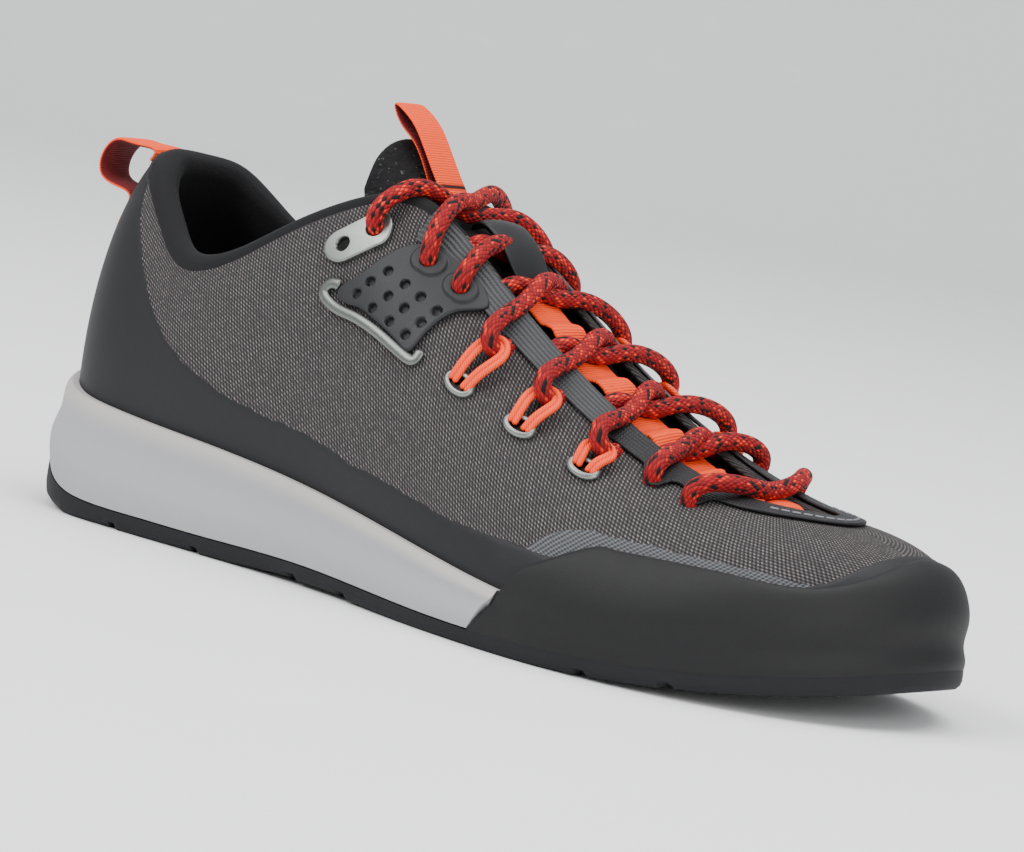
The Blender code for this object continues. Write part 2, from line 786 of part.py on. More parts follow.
def crossing_strand(crest, start, side, over):
    """Lace from a hole, over its own side of the throat, to the far edge on the way to the next hole.

    The top pair runs on over the far edge and ends in the ankle hole from above.
    """
    first = lace_hole(start, side)
    last = lace_hole(start - 1, -side)
    run = last - first
    near = throat_edge(first[0] + 0.22 * run[0], side)
    far = throat_edge(first[0] + 0.78 * run[0], -side)
    at_near = (near[1] - first[1]) / run[1]
    at_far = (far[1] - first[1]) / run[1]
    middle = first + 0.5 * run
    middle[2] = tongue_middle(crest, middle[0])[2] + (CROSSING_OVER if over else CROSSING_UNDER)
    over_edge = first + at_near * run
    over_edge[2] = near[2] + EDGE_RISE
    if start == 1:
        over_far = first + at_far * run
        over_far[2] = far[2] + EDGE_RISE + (2.0 if over else 0.0)
        return through([first, over_edge, middle, over_far, last], 15)
    dive = first + (at_far - 4.2 / abs(run[1])) * run
    dive[2] = far[2] + (1.8 if over else 1.2)
    return through([first, over_edge, middle, dive], 11)


def make_laces(crest, look):
    for start in range(6, 0, -1):
        name = "lace_cross_" + str(7 - start)
        over = crossing_strand(crest, start, OUTER, True)
        under = crossing_strand(crest, start, INNER, False)
        joined(name, cord_mesh(name, over, LACE_RADIUS), cord_mesh(name + "_b", under, LACE_RADIUS), look)
    first, last = lace_hole(7, OUTER), lace_hole(7, INNER)
    over_first = throat_edge(first[0], OUTER) + (0, 0, 5.0)
    over_last = throat_edge(last[0], INNER) + (0, 0, 5.0)
    middle = (first + last) / 2
    middle[2] = tongue_middle(crest, middle[0])[2] + 5.6
    bar = through([first, over_first, middle, over_last, last], 13)
    add_object("lace_bar", cord_mesh("lace_bar", bar, LACE_RADIUS), look)


def make_hardware(looks):
    for side in (OUTER, INNER):
        name = side_name(side)
        sheet("lace_plate_" + name, patch(LACE_PLATE, side, 6, 5, GAP, 0.35), 1.5, looks["plate"])
        sheet("eyelet_plate_" + name, patch(EYELET_PLATE, side, 5, 4, GAP, 0.55), 1.3, looks["metal"])
        bar = np.array(SLOT_BAR)
        points = skin(angle(bar[:, 0], side), bar[:, 1], BAR_RADIUS + GAP)
        add_object("slot_bar_" + name, cord_mesh("slot_bar", points, BAR_RADIUS), looks["metal"])
        for number, (x, share) in enumerate(GROMMETS):
            centre = skin(np.array([angle(x, side)]), share, GROMMET_RADIUS + GAP)[0]
            out = rib_normal(np.array([angle(x, side)]), np.array([share]))[0]
            head = lace_hole(3 + number, side) - centre
            head -= out * (head @ out)
            head /= np.linalg.norm(head)
            cross = np.cross(out, head)
            turn = np.linspace(0, 2 * math.pi, 12, endpoint=False)
            oval = centre + GROMMET_REACH * np.outer(np.cos(turn), head)
            oval = oval + GROMMET_HALF * np.outer(np.sin(turn), cross)
            label = name + "_" + str(number + 1)
            eyelet = cord_mesh("grommet", oval, GROMMET_RADIUS, closed=True, resolution=0)
            add_object("grommet_" + label, eyelet, looks["metal"])
            top = lace_hole(3 + number, side) - out * (LACE_RADIUS + GAP + CORD_RADIUS)
            reach = np.linalg.norm(top - centre - out * ((top - centre) @ out))
            path = []
            for along, wide, high in CORD_LOOP + tuple((a, -w, h) for a, w, h in CORD_LOOP[-2::-1]):
                path.append(centre + head * reach * along + cross * wide + out * high)
            cord = cord_mesh("cord_loop", through(path, 10), CORD_RADIUS)
            add_object("cord_loop_" + label, cord, looks["cord"])


def ribbon(name, path, width, thickness, look, across=(0, 1, 0)):
    """Flat webbing along a line of points."""
    across = np.array(across, float)
    grid = np.stack([path - across * width / 2, path + across * width / 2], 1)
    return sheet(name, grid, thickness, look)


def make_pulls(crest, look):
    back = skin(np.zeros(3), np.array([0.70, 0.77, 0.84]), GAP)
    end = skin(np.zeros(2), np.array([0.965, 0.93]), GAP + 1.7)
    heel = through([*back, (-1.6, 0, 95), (-1.4, 0, 100.6), (2.6, 0, 103.2), (8.0, 0, 102.8), *end], 17)
    ribbon("heel_pull", heel, 13.0, 1.4, look)
    base = tongue_middle(crest, 119.5)
    front = [base + (0.4, 0, 2.6), base + (-3.6, 0, 7.4), (108.5, TONGUE_CENTRE, 120.5), (101.2, TONGUE_CENTRE, 127)]
    tip = [(98.0, TONGUE_CENTRE, 128.2)]
    back = [(99.6, TONGUE_CENTRE, 125.0), (105.4, TONGUE_CENTRE, 120.2), base + (-5.6, 0, 5.6)]
    ribbon("tongue_pull", through(front + tip + back, 17), 11.5, -1.1, look)


def make_keeper(crest, look):
    """Smooth patch bridging the lace crossing on the tongue."""
    middle = through([tongue_middle(crest, x) + (0, 0, rise) for x, rise in KEEPER], 9)
    rows = []
    for k, point in enumerate(middle):
        half = KEEPER_WIDTH / 2 * (1 - 0.35 * abs(k / 4 - 1) ** 3)
        across = np.array([-1.0, -0.5, 0.0, 0.5, 1.0])
        drop = 0.8 * across**2
        rows.append(point + np.stack([0 * across, half * across, -drop], -1))
    sheet("tongue_keeper", np.array(rows), 1.2, look)


def lace_stations():
    """Stations at which the webbing lies down: its ends and the lace crossings."""
    holes = [lace_hole(row, side)[0] for row in range(2, len(LACE_ROWS)) for side in (OUTER, INNER)]
    pairs = [sum(holes[k : k + 4]) / 4 for k in range(0, len(holes) - 2, 2)]
    return np.array([WEBBING_BACK, *pairs, sum(holes[-2:]) / 2, WEBBING_FRONT])


def make_webbing(look):
    """Webbing along the tongue's roundness: it bulges between the lace crossings."""
    crossings = lace_stations()
    rows = []
    for line in tongue_surface(36, 21):
        if not WEBBING_BACK < line[10, 0] < WEBBING_FRONT:
            continue
        y = line[10, 1] + WEBBING_WIDTH * np.array([-0.5, -0.2, 0.2, 0.5])
        x = np.interp(y, line[:, 1], line[:, 0])
        clear = np.abs(crossings - line[10, 0]).min() - ARCH_START
        z = np.interp(y, line[:, 1], line[:, 2]) + GAP + 0.3 + WEBBING_ARCH * smooth(clear / ARCH_LENGTH)
        rows.append(np.stack([x, y, z], -1))
    sheet("tongue_webbing", np.array(rows), -1.1, look)


def main():
    for thing in list(bpy.data.objects):
        bpy.data.objects.remove(thing)
    for name in ("approach_shoe", "approach_shoe_cutters"):
        bpy.context.scene.collection.children.link(bpy.data.collections.new(name))
    looks = {
        "rubber": material("outsole_rubber", (0.035, 0.035, 0.040), 0.75),
        "rand": material("rand_rubber", (0.028, 0.028, 0.029), 0.65),
        "foam": material("midsole_foam", (0.50, 0.50, 0.51), 0.7),
        "knit": material("upper_knit", (0.075, 0.068, 0.068), 0.9),
        "lining": material("lining", (0.02, 0.02, 0.022), 0.9),
        "insole": material("insole_cover", (0.03, 0.03, 0.033), 0.9),
        "stay": material("eyestay_film", (0.09, 0.09, 0.09), 0.5),
        "lace": material("lace", (0.45, 0.02, 0.02), 0.7),
        "cord": material("loop_cord", (0.85, 0.12, 0.03), 0.6),
        "webbing": material("webbing", (0.85, 0.13, 0.05), 0.7),
        "keeper": material("keeper_film", (0.025, 0.025, 0.028), 0.55),
        "metal": material("brushed_metal", (0.45, 0.45, 0.45), 0.35, 1.0),
        "plate": material("lace_plate", (0.06, 0.06, 0.062), 0.55),
    }
    make_outsole(looks["rubber"])
    make_midsole(looks["foam"])
    make_rand(looks["rand"])
    make_upper(looks["knit"])
    make_insole(looks["insole"])
    make_tongue(looks["lining"])
    make_eyestay(looks["stay"])
    make_hardware(looks)
    crest = tongue_crest()
    make_laces(crest, looks["lace"])
    make_webbing(looks["webbing"])
    make_pulls(crest, looks["webbing"])
    make_keeper(crest, looks["keeper"])


main()
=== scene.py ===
"""Looks of an approach shoe for the right foot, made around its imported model.

Run it with Blender as a script. The tables are in millimetres and measure stations from the back
of the heel; X runs to the toe, Y to the inner side of the foot and Z up, with the origin on the
ground under the heel. The upper is a family of ribs: each rib is an arc from the sole's edge up to
the topline, an angle round the foot picks the rib and a share from 0 to 1 the place on it.
"""

import functools
import math

import bmesh
import bpy
import numpy as np
from mathutils import Matrix, Vector


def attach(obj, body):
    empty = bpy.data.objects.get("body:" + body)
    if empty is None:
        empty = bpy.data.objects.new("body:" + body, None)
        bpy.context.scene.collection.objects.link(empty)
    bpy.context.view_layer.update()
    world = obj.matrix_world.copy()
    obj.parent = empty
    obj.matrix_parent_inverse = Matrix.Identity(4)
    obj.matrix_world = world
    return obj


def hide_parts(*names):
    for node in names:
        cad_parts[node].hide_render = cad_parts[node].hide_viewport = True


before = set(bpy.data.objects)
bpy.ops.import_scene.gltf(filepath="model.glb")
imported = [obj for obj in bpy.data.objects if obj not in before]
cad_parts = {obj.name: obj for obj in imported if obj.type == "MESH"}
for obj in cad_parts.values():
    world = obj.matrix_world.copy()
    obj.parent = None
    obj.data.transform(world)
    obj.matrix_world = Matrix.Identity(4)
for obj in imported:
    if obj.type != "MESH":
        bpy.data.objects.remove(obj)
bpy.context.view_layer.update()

bl_info = {
    "name": "Approach shoe",
    "version": (1, 0, 0),
    "blender": (4, 5, 0),
    "location": "View3D > Sidebar > Shoe",
    "description": "Upper, sole, laces and trim of a knit approach shoe with a rubber toe",
    "category": "Add Mesh",
}

BODY = "root"
MM = 0.001
HEEL_ORIGIN = 50.0
LENGTH = 291.0
OUTER, INNER = -1, 1
SIDES = {OUTER: "outer", INNER: "inner"}
TURN = 2 * math.pi

# Widths of the sole seen from above.
PLAN = (  # station, half breadth on the outer side, half breadth on the inner side
    (6, 20, 20),
    (22, 32.5, 32),
    (50, 36, 34),
    (85, 37, 31.5),
    (120, 40, 31),
    (155, 47, 38),
    (190, 52.5, 47),
    (220, 52, 50.5),
    (247, 45, 47),
    (268, 33, 39.5),
    (283, 17, 28),
)
TOE_SWING = 7.0

# Side view of the sole and of the line where the upper meets it.
PROFILE = (  # station, ground, outsole top, foam top, feather line
    (0, 9.0, 18.5, 38.0, 24.0),
    (10, 3.4, 12.0, 35.8, 23.8),
    (22, 0.5, 6.9, 33.8, 23.4),
    (34, 0.0, 5.2, 32.7, 23.0),
    (55, 0.0, 4.9, 31.2, 22.2),
    (75, 0.0, 4.9, 30.0, 21.0),
    (115, 1.2, 5.5, 26.4, 17.5),
    (160, 0.0, 4.4, 20.6, 13.0),
    (205, 0.0, 4.4, 15.0, 9.6),
    (235, 1.6, 6.0, 15.0, 10.5),
    (260, 4.4, 9.0, 18.0, 13.6),
    (280, 8.0, 12.8, 22.0, 17.2),
    (291, 11.0, 16.0, 24.0, 20.0),
)
GROUND, OUTSOLE_TOP, FOAM_TOP, FEATHER = range(1, 5)
FLATS = ((34.0, 75.0), (160.0, 205.0))

# Outer edge of the collar and throat, where the rounded lip begins.
TOPLINE = (  # foot station, outer side x, y, z, inner side x, y, z
    (0, 18.5, 0, 102, 18.5, 0, 102),
    (6, 21, -11, 101, 21, 11, 101),
    (18, 28.5, -19.5, 96, 28, 19.5, 98.5),
    (36, 39.5, -25.5, 85.8, 38.5, 24.5, 90.5),
    (56, 54, -30.5, 77.0, 51, 28.5, 82),
    (78, 72, -31, 81.8, 68, 29.5, 82),
    (100, 91, -28, 94.2, 88, 27.5, 92.5),
    (122, 112, -22, 104.6, 110, 21, 103.6),
    (140, 127, -17.5, 104.0, 127, 16, 101.2),
    (165, 153, -14.5, 86.5, 153, 14.2, 86),
    (190, 178, -12, 69.5, 178, 14, 70.8),
    (215, 204, -10, 55.5, 204, 13.8, 58),
    (240, 228, -8, 48.2, 228, 12.5, 49.6),
    (262, 243, -5, 46.8, 243, 11, 46.8),
    (280, 250.5, 0, 46.5, 250.5, 8, 46.5),
    (291, 252.5, 4, 46.3, 252.5, 4, 46.3),
)

# How each rib of the upper leaves the sole and arrives at the topline.
RIBS = (  # foot station, rise, bulge, reach, drop, inset of the foot, collar thickness
    (0, 24, 3.2, 13, 18, 6.6, 8.5),
    (10, 24, 2.8, 11, 18, 6.2, 8.5),
    (22, 24, 2.4, 8, 18, 5.2, 8.3),
    (45, 24, 2.7, 3, 16, 4.0, 7.0),
    (72, 24, 4, 3.5, 15, 3.4, 5.0),
    (100, 30, 4, 8, 20, 3.1, 4.0),
    (130, 30, 4.5, 16, 20, 3.0, 3.4),
    (160, 26, 5, 19, 13, 3.3, 2.6),
    (200, 20, 4.5, 22, 8, 3.5, 2.6),
    (235, 17, 4.5, 24, 3.5, 3.5, 2.6),
    (265, 19, 4.5, 24, 2, 3.7, 2.6),
    (291, 20, 3.5, 25, 1, 4.0, 2.6),
)
RISE, BULGE, REACH, DROP, INSET, PAD = range(1, 7)
WALL = 2.2
INSOLE_EDGE = (  # distance inwards, height over the feather line, further height of the heel cup
    (0.8, 0.0, 0.0),
    (0.0, 0.8, 0.0),
    (0.0, 3.4, 1.6),
    (1.2, 4.0, 1.6),
    (7.0, 4.0, 0.3),
)

# The slanted joint between the foam and the toe rubber, at the ball of the foot.
JOINT = 185.5
JOINT_FOOT = 4.7
JOINT_SLOPE = 0.72
JOINT_BLEND_BACK = 40.0
JOINT_BLEND_FRONT = 50.0
RAND_START = 186.2
RAND_FOOT_GAP = 0.03
RAND_TOP = (  # station along the rubber, share on the outer side, share on the inner side
    (186.2, 0.225, 0.225),
    (192, 0.32, 0.32),
    (200, 0.395, 0.39),
    (216, 0.42, 0.41),
    (232, 0.435, 0.42),
    (251, 0.42, 0.41),
    (270, 0.36, 0.37),
    (280, 0.395, 0.395),
    (291, 0.55, 0.55),
)
RAND_SECTION = (  # share of the way to its upper edge, distance from the upper
    (0.1, 2.9),
    (0.32, 2.9),
    (0.55, 2.8),
    (0.78, 2.55),
    (0.92, 2.1),
    (0.98, 1.5),
    (1.0, 0.8),
)

# Scalloped lower edge of the outsole and its grooves.
LOBES = ((0, 23.0), (23.0, 46.5), (46.5, 78.0), (78.0, 115.5), (115.5, 136.0))
LOBE_STEP = 1.0
EDGE_CHAMFER = 0.9
GROOVES = (46.5, 78.0, 115.5, 136.0, 222.0, 244.0)
GROOVE_FLOOR = 1.1
GROOVE_HALF = 1.6
GROOVE_DEPTH = 1.2
OUTSOLE_WALL = (  # distance from the outline, share of the way to the top, added height
    (0.0, 0.3, 0.4),
    (0.0, 0.65, 0.0),
    (-0.1, 1.0, 0.0),
    (-0.5, 1.0, 0.0),
)
LUG_PITCH = 10.5
LUG_RADIUS = 3.9
LUG_ROW = LUG_PITCH * 0.866
LUG_HEIGHT = 1.5

# Upper edge of the smooth film over the heel and along the foot, as a share of the rib.
FILM_EDGE = (  # foot station, share
    (0, 1.1),
    (9, 1.04),
    (16, 0.95),
    (23, 0.845),
    (32, 0.755),
    (43, 0.652),
    (55, 0.53),
    (67.5, 0.416),
    (80, 0.33),
    (95.5, 0.264),
    (132, 0.208),
    (173, 0.228),
    (201, 0.284),
    (225, 0.30),
    (262, 0.30),
    (276, 0.40),
    (284, 0.52),
    (291, 0.60),
)
BAND_EDGE = (  # upper edge of the ribbed band over the toe rubber: foot station, share
    (190, 0.10),
    (198, 0.25),
    (203, 0.345),
    (209, 0.42),
    (215, 0.464),
    (231, 0.500),
    (250, 0.484),
    (262, 0.44),
    (269.5, 0.392),
    (276, 0.36),
    (291, 0.30),
)
BINDING = 3.2
BINDING_END = 150.0

# Tongue: guide lines under the throat, then free above it.
TONGUE_AT = (262, 256, 250, 243, 235, 225, 212, 198, 184, 170, 157, 145, 134)
TONGUE_TOP = (  # station, crest height, half breadth and height of the fold, then of the rim
    (123, 100.6, 13.5, 97.0, 20.2, 87.0),
    (113, 108.6, 14.5, 101.0, 20.0, 90.0),
    (105, 116.2, 15.0, 106.5, 19.0, 96.0),
    (100.5, 120.2, 14.0, 112.6, 17.0, 105.0),
)
TONGUE_GUIDES = (  # side, share of the rib, clearance under the upper
    (OUTER, 0.80, 1.2),
    (OUTER, 0.965, 3.0),
    (INNER, 0.965, 3.0),
    (INNER, 0.80, 1.2),
)
TONGUE_CENTRE = 0.3
TONGUE_THICK = 4.0
WEBBING_WIDTH = 13.5
WEBBING_FRONT = 247.0
WEBBING_BACK = 146.0
WEBBING_LIFT, WEBBING_THICK = 0.6, 1.1
WEBBING_ARCH, WEBBING_SWELL = 2.2, 1.2
WEBBING_BULGE = (226.0, 240.0, 243.0, 247.0)  # stations where its front bulge begins, is full and ends
ARCH_START = 4.2
ARCH_LENGTH = 4.6
KEEPER_WIDTH, KEEPER_THICK = 16.0, 1.2
KEEPER_WAIST, KEEPER_CROWN = 0.35, 0.8
KEEPER = (  # station, rise over the tongue
    (131.5, 3.0),
    (134.0, 6.0),
    (137.5, 8.2),
    (141.0, 8.6),
    (145.0, 7.6),
    (148.5, 5.2),
    (151.0, 2.6),
)

# Lace holes and cord loops, from the ankle to the toe.
LACE_ROWS = (  # foot station, share of the rib, height of the lace centre over the upper
    (127.0, 0.856, 5.0),
    (147.5, 0.830, 5.2),
    (157.5, 0.843, 5.2),
    (172.5, 0.770, 7.7),
    (190.0, 0.780, 7.4),
    (208.5, 0.765, 7.2),
    (222.5, 0.810, 4.4),
    (234.0, 0.790, 4.4),
)
LOOP_ROWS = (3, 4, 5)
GROMMETS = (  # foot station, share of the rib
    (167.5, 0.610),
    (187.5, 0.645),
    (207.0, 0.675),
)

# Outlines of the plates and their holes, on the upper's surface.
LACE_PLATE = (  # foot station, share of the rib
    (120.9, 0.648),
    (125.5, 0.690),
    (131.0, 0.735),
    (144.0, 0.865),
    (150.0, 0.900),
    (157.0, 0.915),
    (163.2, 0.908),
    (165.2, 0.878),
    (163.4, 0.835),
    (159.5, 0.775),
    (156.3, 0.705),
    (153.6, 0.635),
    (151.6, 0.584),
    (148.0, 0.567),
    (142.5, 0.579),
    (136.0, 0.594),
    (129.0, 0.612),
    (122.6, 0.630),
)
PLATE_HOLES = (
    (137.5, 0.732),
    (132.5, 0.688),
    (144.0, 0.724),
    (128.5, 0.648),
    (140.0, 0.668),
    (149.5, 0.724),
    (135.5, 0.620),
    (146.0, 0.664),
    (155.0, 0.728),
    (142.5, 0.608),
    (152.0, 0.664),
    (148.5, 0.604),
)
PLATE_THICK, PLATE_LIFT = 1.5, 0.4
HOLE_RADIUS = 1.25
LACE_HOLE = 2.0
LACE_RIM = (4.4, 3.2, 0.7)  # half length, half width and height of the rim round a lace hole
EYELET_HALVES, EYELET_THICK = (10.2, 5.0), 1.3
EYELET_RADII = (2.0, 2.3)
STRAP_LIFT, STRAP_RADIUS, STRAP_FLAT = 1.15, 1.5, 0.5
EYELET_HOLES = ((118.0, 0.812), (127.0, 0.856))
SLOT_BAR = (
    (120.2, 0.676),
    (117.6, 0.682),
    (115.4, 0.664),
    (117.6, 0.628),
    (128.0, 0.586),
    (140.0, 0.562),
    (149.0, 0.552),
    (152.6, 0.562),
    (153.8, 0.590),
)

# Steps of the lace out of a hole: shift along, shift of the share, height over the upper.
HOLE_WAY = ((0, 0, -1.5), (-0.2, 0.006, 2.4))
LOOP_WAY = ((1.5, 0.075, -0.8), (0.6, 0.01, 2.2), (-0.8, 0, 5.0))
ANKLE_WAY = ((0, 0, -0.5), (0, 0.015, 3.0))
BAR_WAY = ((0, 0, -1.5), (0, 0.01, 2.4))

# How a strand passes the throat's edges: near edge, ankle pair, dive under the far edge and its end.
LACE_RADIUS, LACE_SIDES = 2.4, 28
EDGE_NEAR, EDGE_FAR = 0.22, 0.78
EDGE_RISE, BAR_EDGE_RISE, BAR_RISE = 3.0, 3.4, 6.6
CROSSING_OVER, CROSSING_UNDER = {1: 7.2, 2: 5.8}, {1: 3.7, 2: 3.4}
CROSSING_OVER_REST, CROSSING_UNDER_REST = 7.9, 3.8
ANKLE_OVER, ANKLE_UNDER = 1.0, -0.4
DIVE_BEFORE, DIVE_OVER, DIVE_UNDER = 4.2, 0.4, 0.9
GONE_BEHIND, GONE_DEPTH = 1.2, 4.2

# Cord loops and grommets.
CORD_RADIUS = 0.85
CORD_LOOP = (  # share of the way up to the lace, distance from the middle, height over the grommet
    (0.0, -1.5, 0.2),
    (0.35, -2.0, 1.7),
    (0.75, -2.7, 1.8),
    (1.0, -2.2, 1.3),
    (1.08, 0.0, 1.0),
)
CORD_STRANDS = (0.0, 1.6)
GROMMET_HIGH, GROMMET_WIDE = 2.6, 4.2
GROMMET_LIFT = 1.05
GROMMET_WIRE = 0.95
GROMMET_FLAT = 0.75
DISC_DEPTH, DISC_THICK = 0.55, 0.25

# Loops of webbing. The heel loop runs from the heel's side through free points, given as station, Y
# and Z, back to the heel. The tongue's starts and ends on its crest, and its free points are given as
# station and Z. A size is a width and a thickness.
HEEL_TURN = 0.08
HEEL_SHARES, HEEL_LIFT = (0.62, 0.70, 0.78), 0.7
HEEL_FREE = ((-2.2, -2.6, 93), (-3.0, -1.8, 98.5), (0.2, -0.8, 102.8), (6.8, 0, 102.9))
HEEL_END_SHARES, HEEL_END_LIFT = (0.965, 0.93), 2.4
HEEL_SIZE = (13.0, 1.4)
PULL_STATION = 119.5
PULL_FRONT = ((0.4, 0, 2.6), (-3.6, 0, 7.4))
PULL_FREE = ((108.5, 120.5), (101.2, 127), (98.0, 128.2), (99.6, 125.0), (105.4, 120.2))
PULL_END = (-5.6, 0, 5.6)
PULL_SIZE = (11.5, 1.1)
PULL_STITCH = (3.2, 3.6, 4.6, 5.0)

# Facing round the throat, its tabs and the seam along it.
EYESTAY_START = 141.0
EYESTAY_LOW, EYESTAY_TOP = 0.862, 0.995
EYESTAY_LIFT, EYESTAY_THICK = 0.4, 0.9
EYESTAY_BREADTH = 62.0
EYESTAY_BLACK = (196.0, 212.0)
TABS, TAB_DEPTH, TAB_HALF = (222.5, 234.5), 0.085, 3.6
SEAM_SHARE, SEAM_LIFT, SEAM_START = 0.925, 1.35, 2.45
STITCH_STEP, STITCH_LENGTH, STITCH_RADIUS = 2.9, 1.7, 0.3

GAP = 0.35  # between neighbouring pieces
TOE_EXTRA = -0.5  # change of the toe rubber's thickness at its tip
MERGE = 2e-6  # distance in metres within which points become one
CAP_STEPS, RIBBON_SIDES, OVAL_POINTS = 5, 28, 200
FAR, SOLID = -5.0, 9.0  # values of a point far outside a pattern, and of one far from any hole

# Patterns of the cloths: slant of the knit in degrees, shift of its stitches from row to row in
# radians, all spacings in millimetres.
KNIT_SLANT, KNIT_SHIFT = 22.0, 3.14
KNIT_ROW, KNIT_STITCH = 1.0, 1.25
WEBBING_RIB = 0.75
BRAID_PITCH, BRAID_WIDTH = 2.0, 1.2566
LACE_BLACK = 0.17  # share of the braid's crossings that are black
NOISE_ROUGHNESS = 0.55
# colour painted as shade inside holes
HOLE_SHADE = (0.003, 0.003, 0.003)

# Worn folds of the cloth: middle, direction, half length, half width, height.
FOLDS = (
    ((196, -47, 38), (0.5, 0.1, 0.9), 12, 3.0, -0.7),
    ((203, -44, 42), (0.5, 0.1, 0.9), 13, 3.2, 0.6),
    ((150, -36, 52), (0.8, 0, 0.5), 18, 5.0, 0.5),
    ((112, -34, 62), (0.9, 0, 0.3), 16, 5.0, -0.5),
    ((92, -29, 70), (0.7, 0, 0.7), 14, 4.0, 0.5),
    ((196, 44, 38), (0.5, -0.1, 0.9), 12, 3.0, -0.7),
    ((112, 30, 62), (0.9, 0, 0.3), 16, 5.0, -0.5),
)

# Painted highlights: the webbing's crest colour and the foam's top colour.
# Painted shade: the knit's gap colour, the groove colours and the webbing's underside colour.
COLOURS = {
    "knit": (50, 48, 49), "stitch": (132, 123, 121), "gap": (6, 6, 7), "lining": (12, 12, 14),
    "film": (13, 13, 17), "band": (98, 100, 103), "band_groove_shade": (30, 31, 33), "facing": (60, 62, 65),
    "foam": (156, 156, 159), "foam_top_highlight": (172, 168, 163), "outsole": (18, 18, 22), "rand": (15, 15, 16),
    "keeper": (12, 12, 15), "plate": (30, 31, 33), "metal": (128, 132, 128), "thread": (120, 120, 124),
    "lace": (178, 6, 12), "lace_dark": (104, 2, 8), "lace_light": (238, 62, 24), "lace_black": (8, 4, 5),
    "cord": (255, 74, 14), "cord_groove_shade": (130, 16, 18), "webbing": (255, 76, 12),
    "webbing_groove_shade": (206, 38, 6), "webbing_crest_highlight": (255, 112, 40), "webbing_underside_shade": (100, 14, 18),
}

# Lamps and camera, in metres; the angles are the turn round the shoe, the height and the roll.
LIGHTS = (  # name, place, power, size, aim
    ("key_lamp", (-0.5, -1.1, 1.3), 26.0, 1.0, (0.1, 0.0, 0.05)),
    ("top_lamp", (0.35, 0.1, 1.4), 22.0, 1.2, (0.1, 0.0, 0.05)),
    ("side_lamp", (1.3, -0.6, 0.5), 9.0, 0.8, (0.15, 0.0, 0.04)),
)
CAMERA_ANGLES = (37.0, 6.5, 9.3)
CAMERA_TARGET = (0.1005, 0.0, 0.05)
CAMERA_DISTANCE = 1.15
CAMERA_LENS = 152.0
SENSOR = 36.0
SKY = (0.95, 0.97, 1.0, 1.0)
SWEEP_FRONT, SWEEP_BACK, SWEEP_BEND, SWEEP_TOP, SWEEP_HALF = -3.0, 1.6, 0.9, 4.0, 4.0


def spline(knots, values, at, period=None):
    """Cubic spline through the values at the knots, periodic if a period is given."""
    knots = np.asarray(knots, float)
    values = np.asarray(values, float).reshape(len(knots), -1)
    count = len(knots)
    at = np.asarray(at, float)
    if period:
        ends = np.append(knots, knots[0] + period)
        at = np.mod(at - knots[0], period) + knots[0]
    else:
        ends = knots
    step = np.diff(ends)
    matrix = np.eye(count)
    right = np.zeros_like(values)
    for i in range(0 if period else 1, count if period else count - 1):
        before, after = (i - 1) % count, (i + 1) % count
        matrix[i] = 0
        matrix[i, before] += step[i - 1]
        matrix[i, i] += 2 * (step[i - 1] + step[i])
        matrix[i, after] += step[i]
        rise = (values[after] - values[i]) / step[i]
        fall = (values[i] - values[before]) / step[i - 1]
        right[i] = 6 * (rise - fall)
    bend = np.linalg.solve(matrix, right)
    low = np.clip(np.searchsorted(ends, at, side="right") - 1, 0, len(step) - 1)
    high = (low + 1) % count
    width = step[low][:, None]
    a = (at - ends[low])[:, None]
    b = width - a
    cubic = (bend[low] * b**3 + bend[high] * a**3) / (6 * width)
    line = (values[low] / width - bend[low] * width / 6) * b
    return cubic + line + (values[high] / width - bend[high] * width / 6) * a


def smooth(value, low=0.0, high=1.0):
    """Soft step from 0 at the low value to 1 at the high one: three t squared less two t cubed."""
    share = np.clip((value - low) / (high - low), 0.0, 1.0)
    return share * share * (3 - 2 * share)


def column(table, index, at):
    """One column of a station table, read smoothly at the given stations."""
    rows = np.array(table, float)
    return spline(rows[:, 0], rows[:, index], np.ravel(at))[:, 0].reshape(np.shape(at))


def edge_line(table, at):
    """A share read straight between the rows of a table."""
    rows = np.array(table, float)
    return np.interp(at, rows[:, 0], rows[:, 1])


def angle(along, side=OUTER):
    """Angle round the foot: 0 at the heel, pi at the toe, beyond it on the inner side."""
    turn = np.arccos(np.clip(1 - 2 * np.asarray(along, float) / LENGTH, -1, 1))
    return turn if side == OUTER else TURN - turn


def station(theta):
    """Station at an angle: half the length times one less the cosine."""
    return LENGTH / 2 * (1 - np.cos(theta))


def sided(table, outer, inner):
    """Angles and values of a table whose columns give the outer and the inner side."""
    rows = np.array(table, float)
    knots = [angle(row[0]) for row in rows]
    values = [row[list(outer)] for row in rows]
    for row in rows[::-1]:
        if 0 < row[0] < LENGTH:
            knots.append(TURN - angle(row[0]))
            values.append(row[list(inner)])
    return np.array(knots), np.array(values)


def plan(theta):
    """Outline of the sole seen from above: a periodic spline of the breadths."""
    rows = [(0, 0, 0)] + [(x, -a, b) for x, a, b in PLAN] + [(LENGTH, TOE_SWING, TOE_SWING)]
    knots, values = sided(rows, (1,), (2,))
    y = spline(knots, values, np.ravel(theta), TURN)[:, 0].reshape(np.shape(theta))
    return np.stack([station(theta), y], -1)


def plan_normal(theta):
    """Level direction pointing away from the foot."""
    nudge = 1e-4
    run = plan(theta + nudge) - plan(theta - nudge)
    out = np.stack([run[..., 1], -run[..., 0]], -1)
    return out / np.linalg.norm(out, axis=-1, keepdims=True)


def ring(theta, offset, height):
    """Points outside the sole's outline; the height is given for each station reached."""
    points = plan(theta) + plan_normal(theta) * np.reshape(offset * np.ones_like(theta), (-1, 1))
    reached = np.clip(points[:, 0], 0, LENGTH)
    return np.column_stack([points, height(reached)])


def profile(index, rise=0.0):
    """A line of the side view as a function of the station."""
    return lambda x: column(PROFILE, index, x) + rise


def between(low, high, share, rise=0.0):
    """A line at a share of the way from one line of the side view to another."""
    return lambda x: (1 - share) * low(x) + share * high(x) + rise


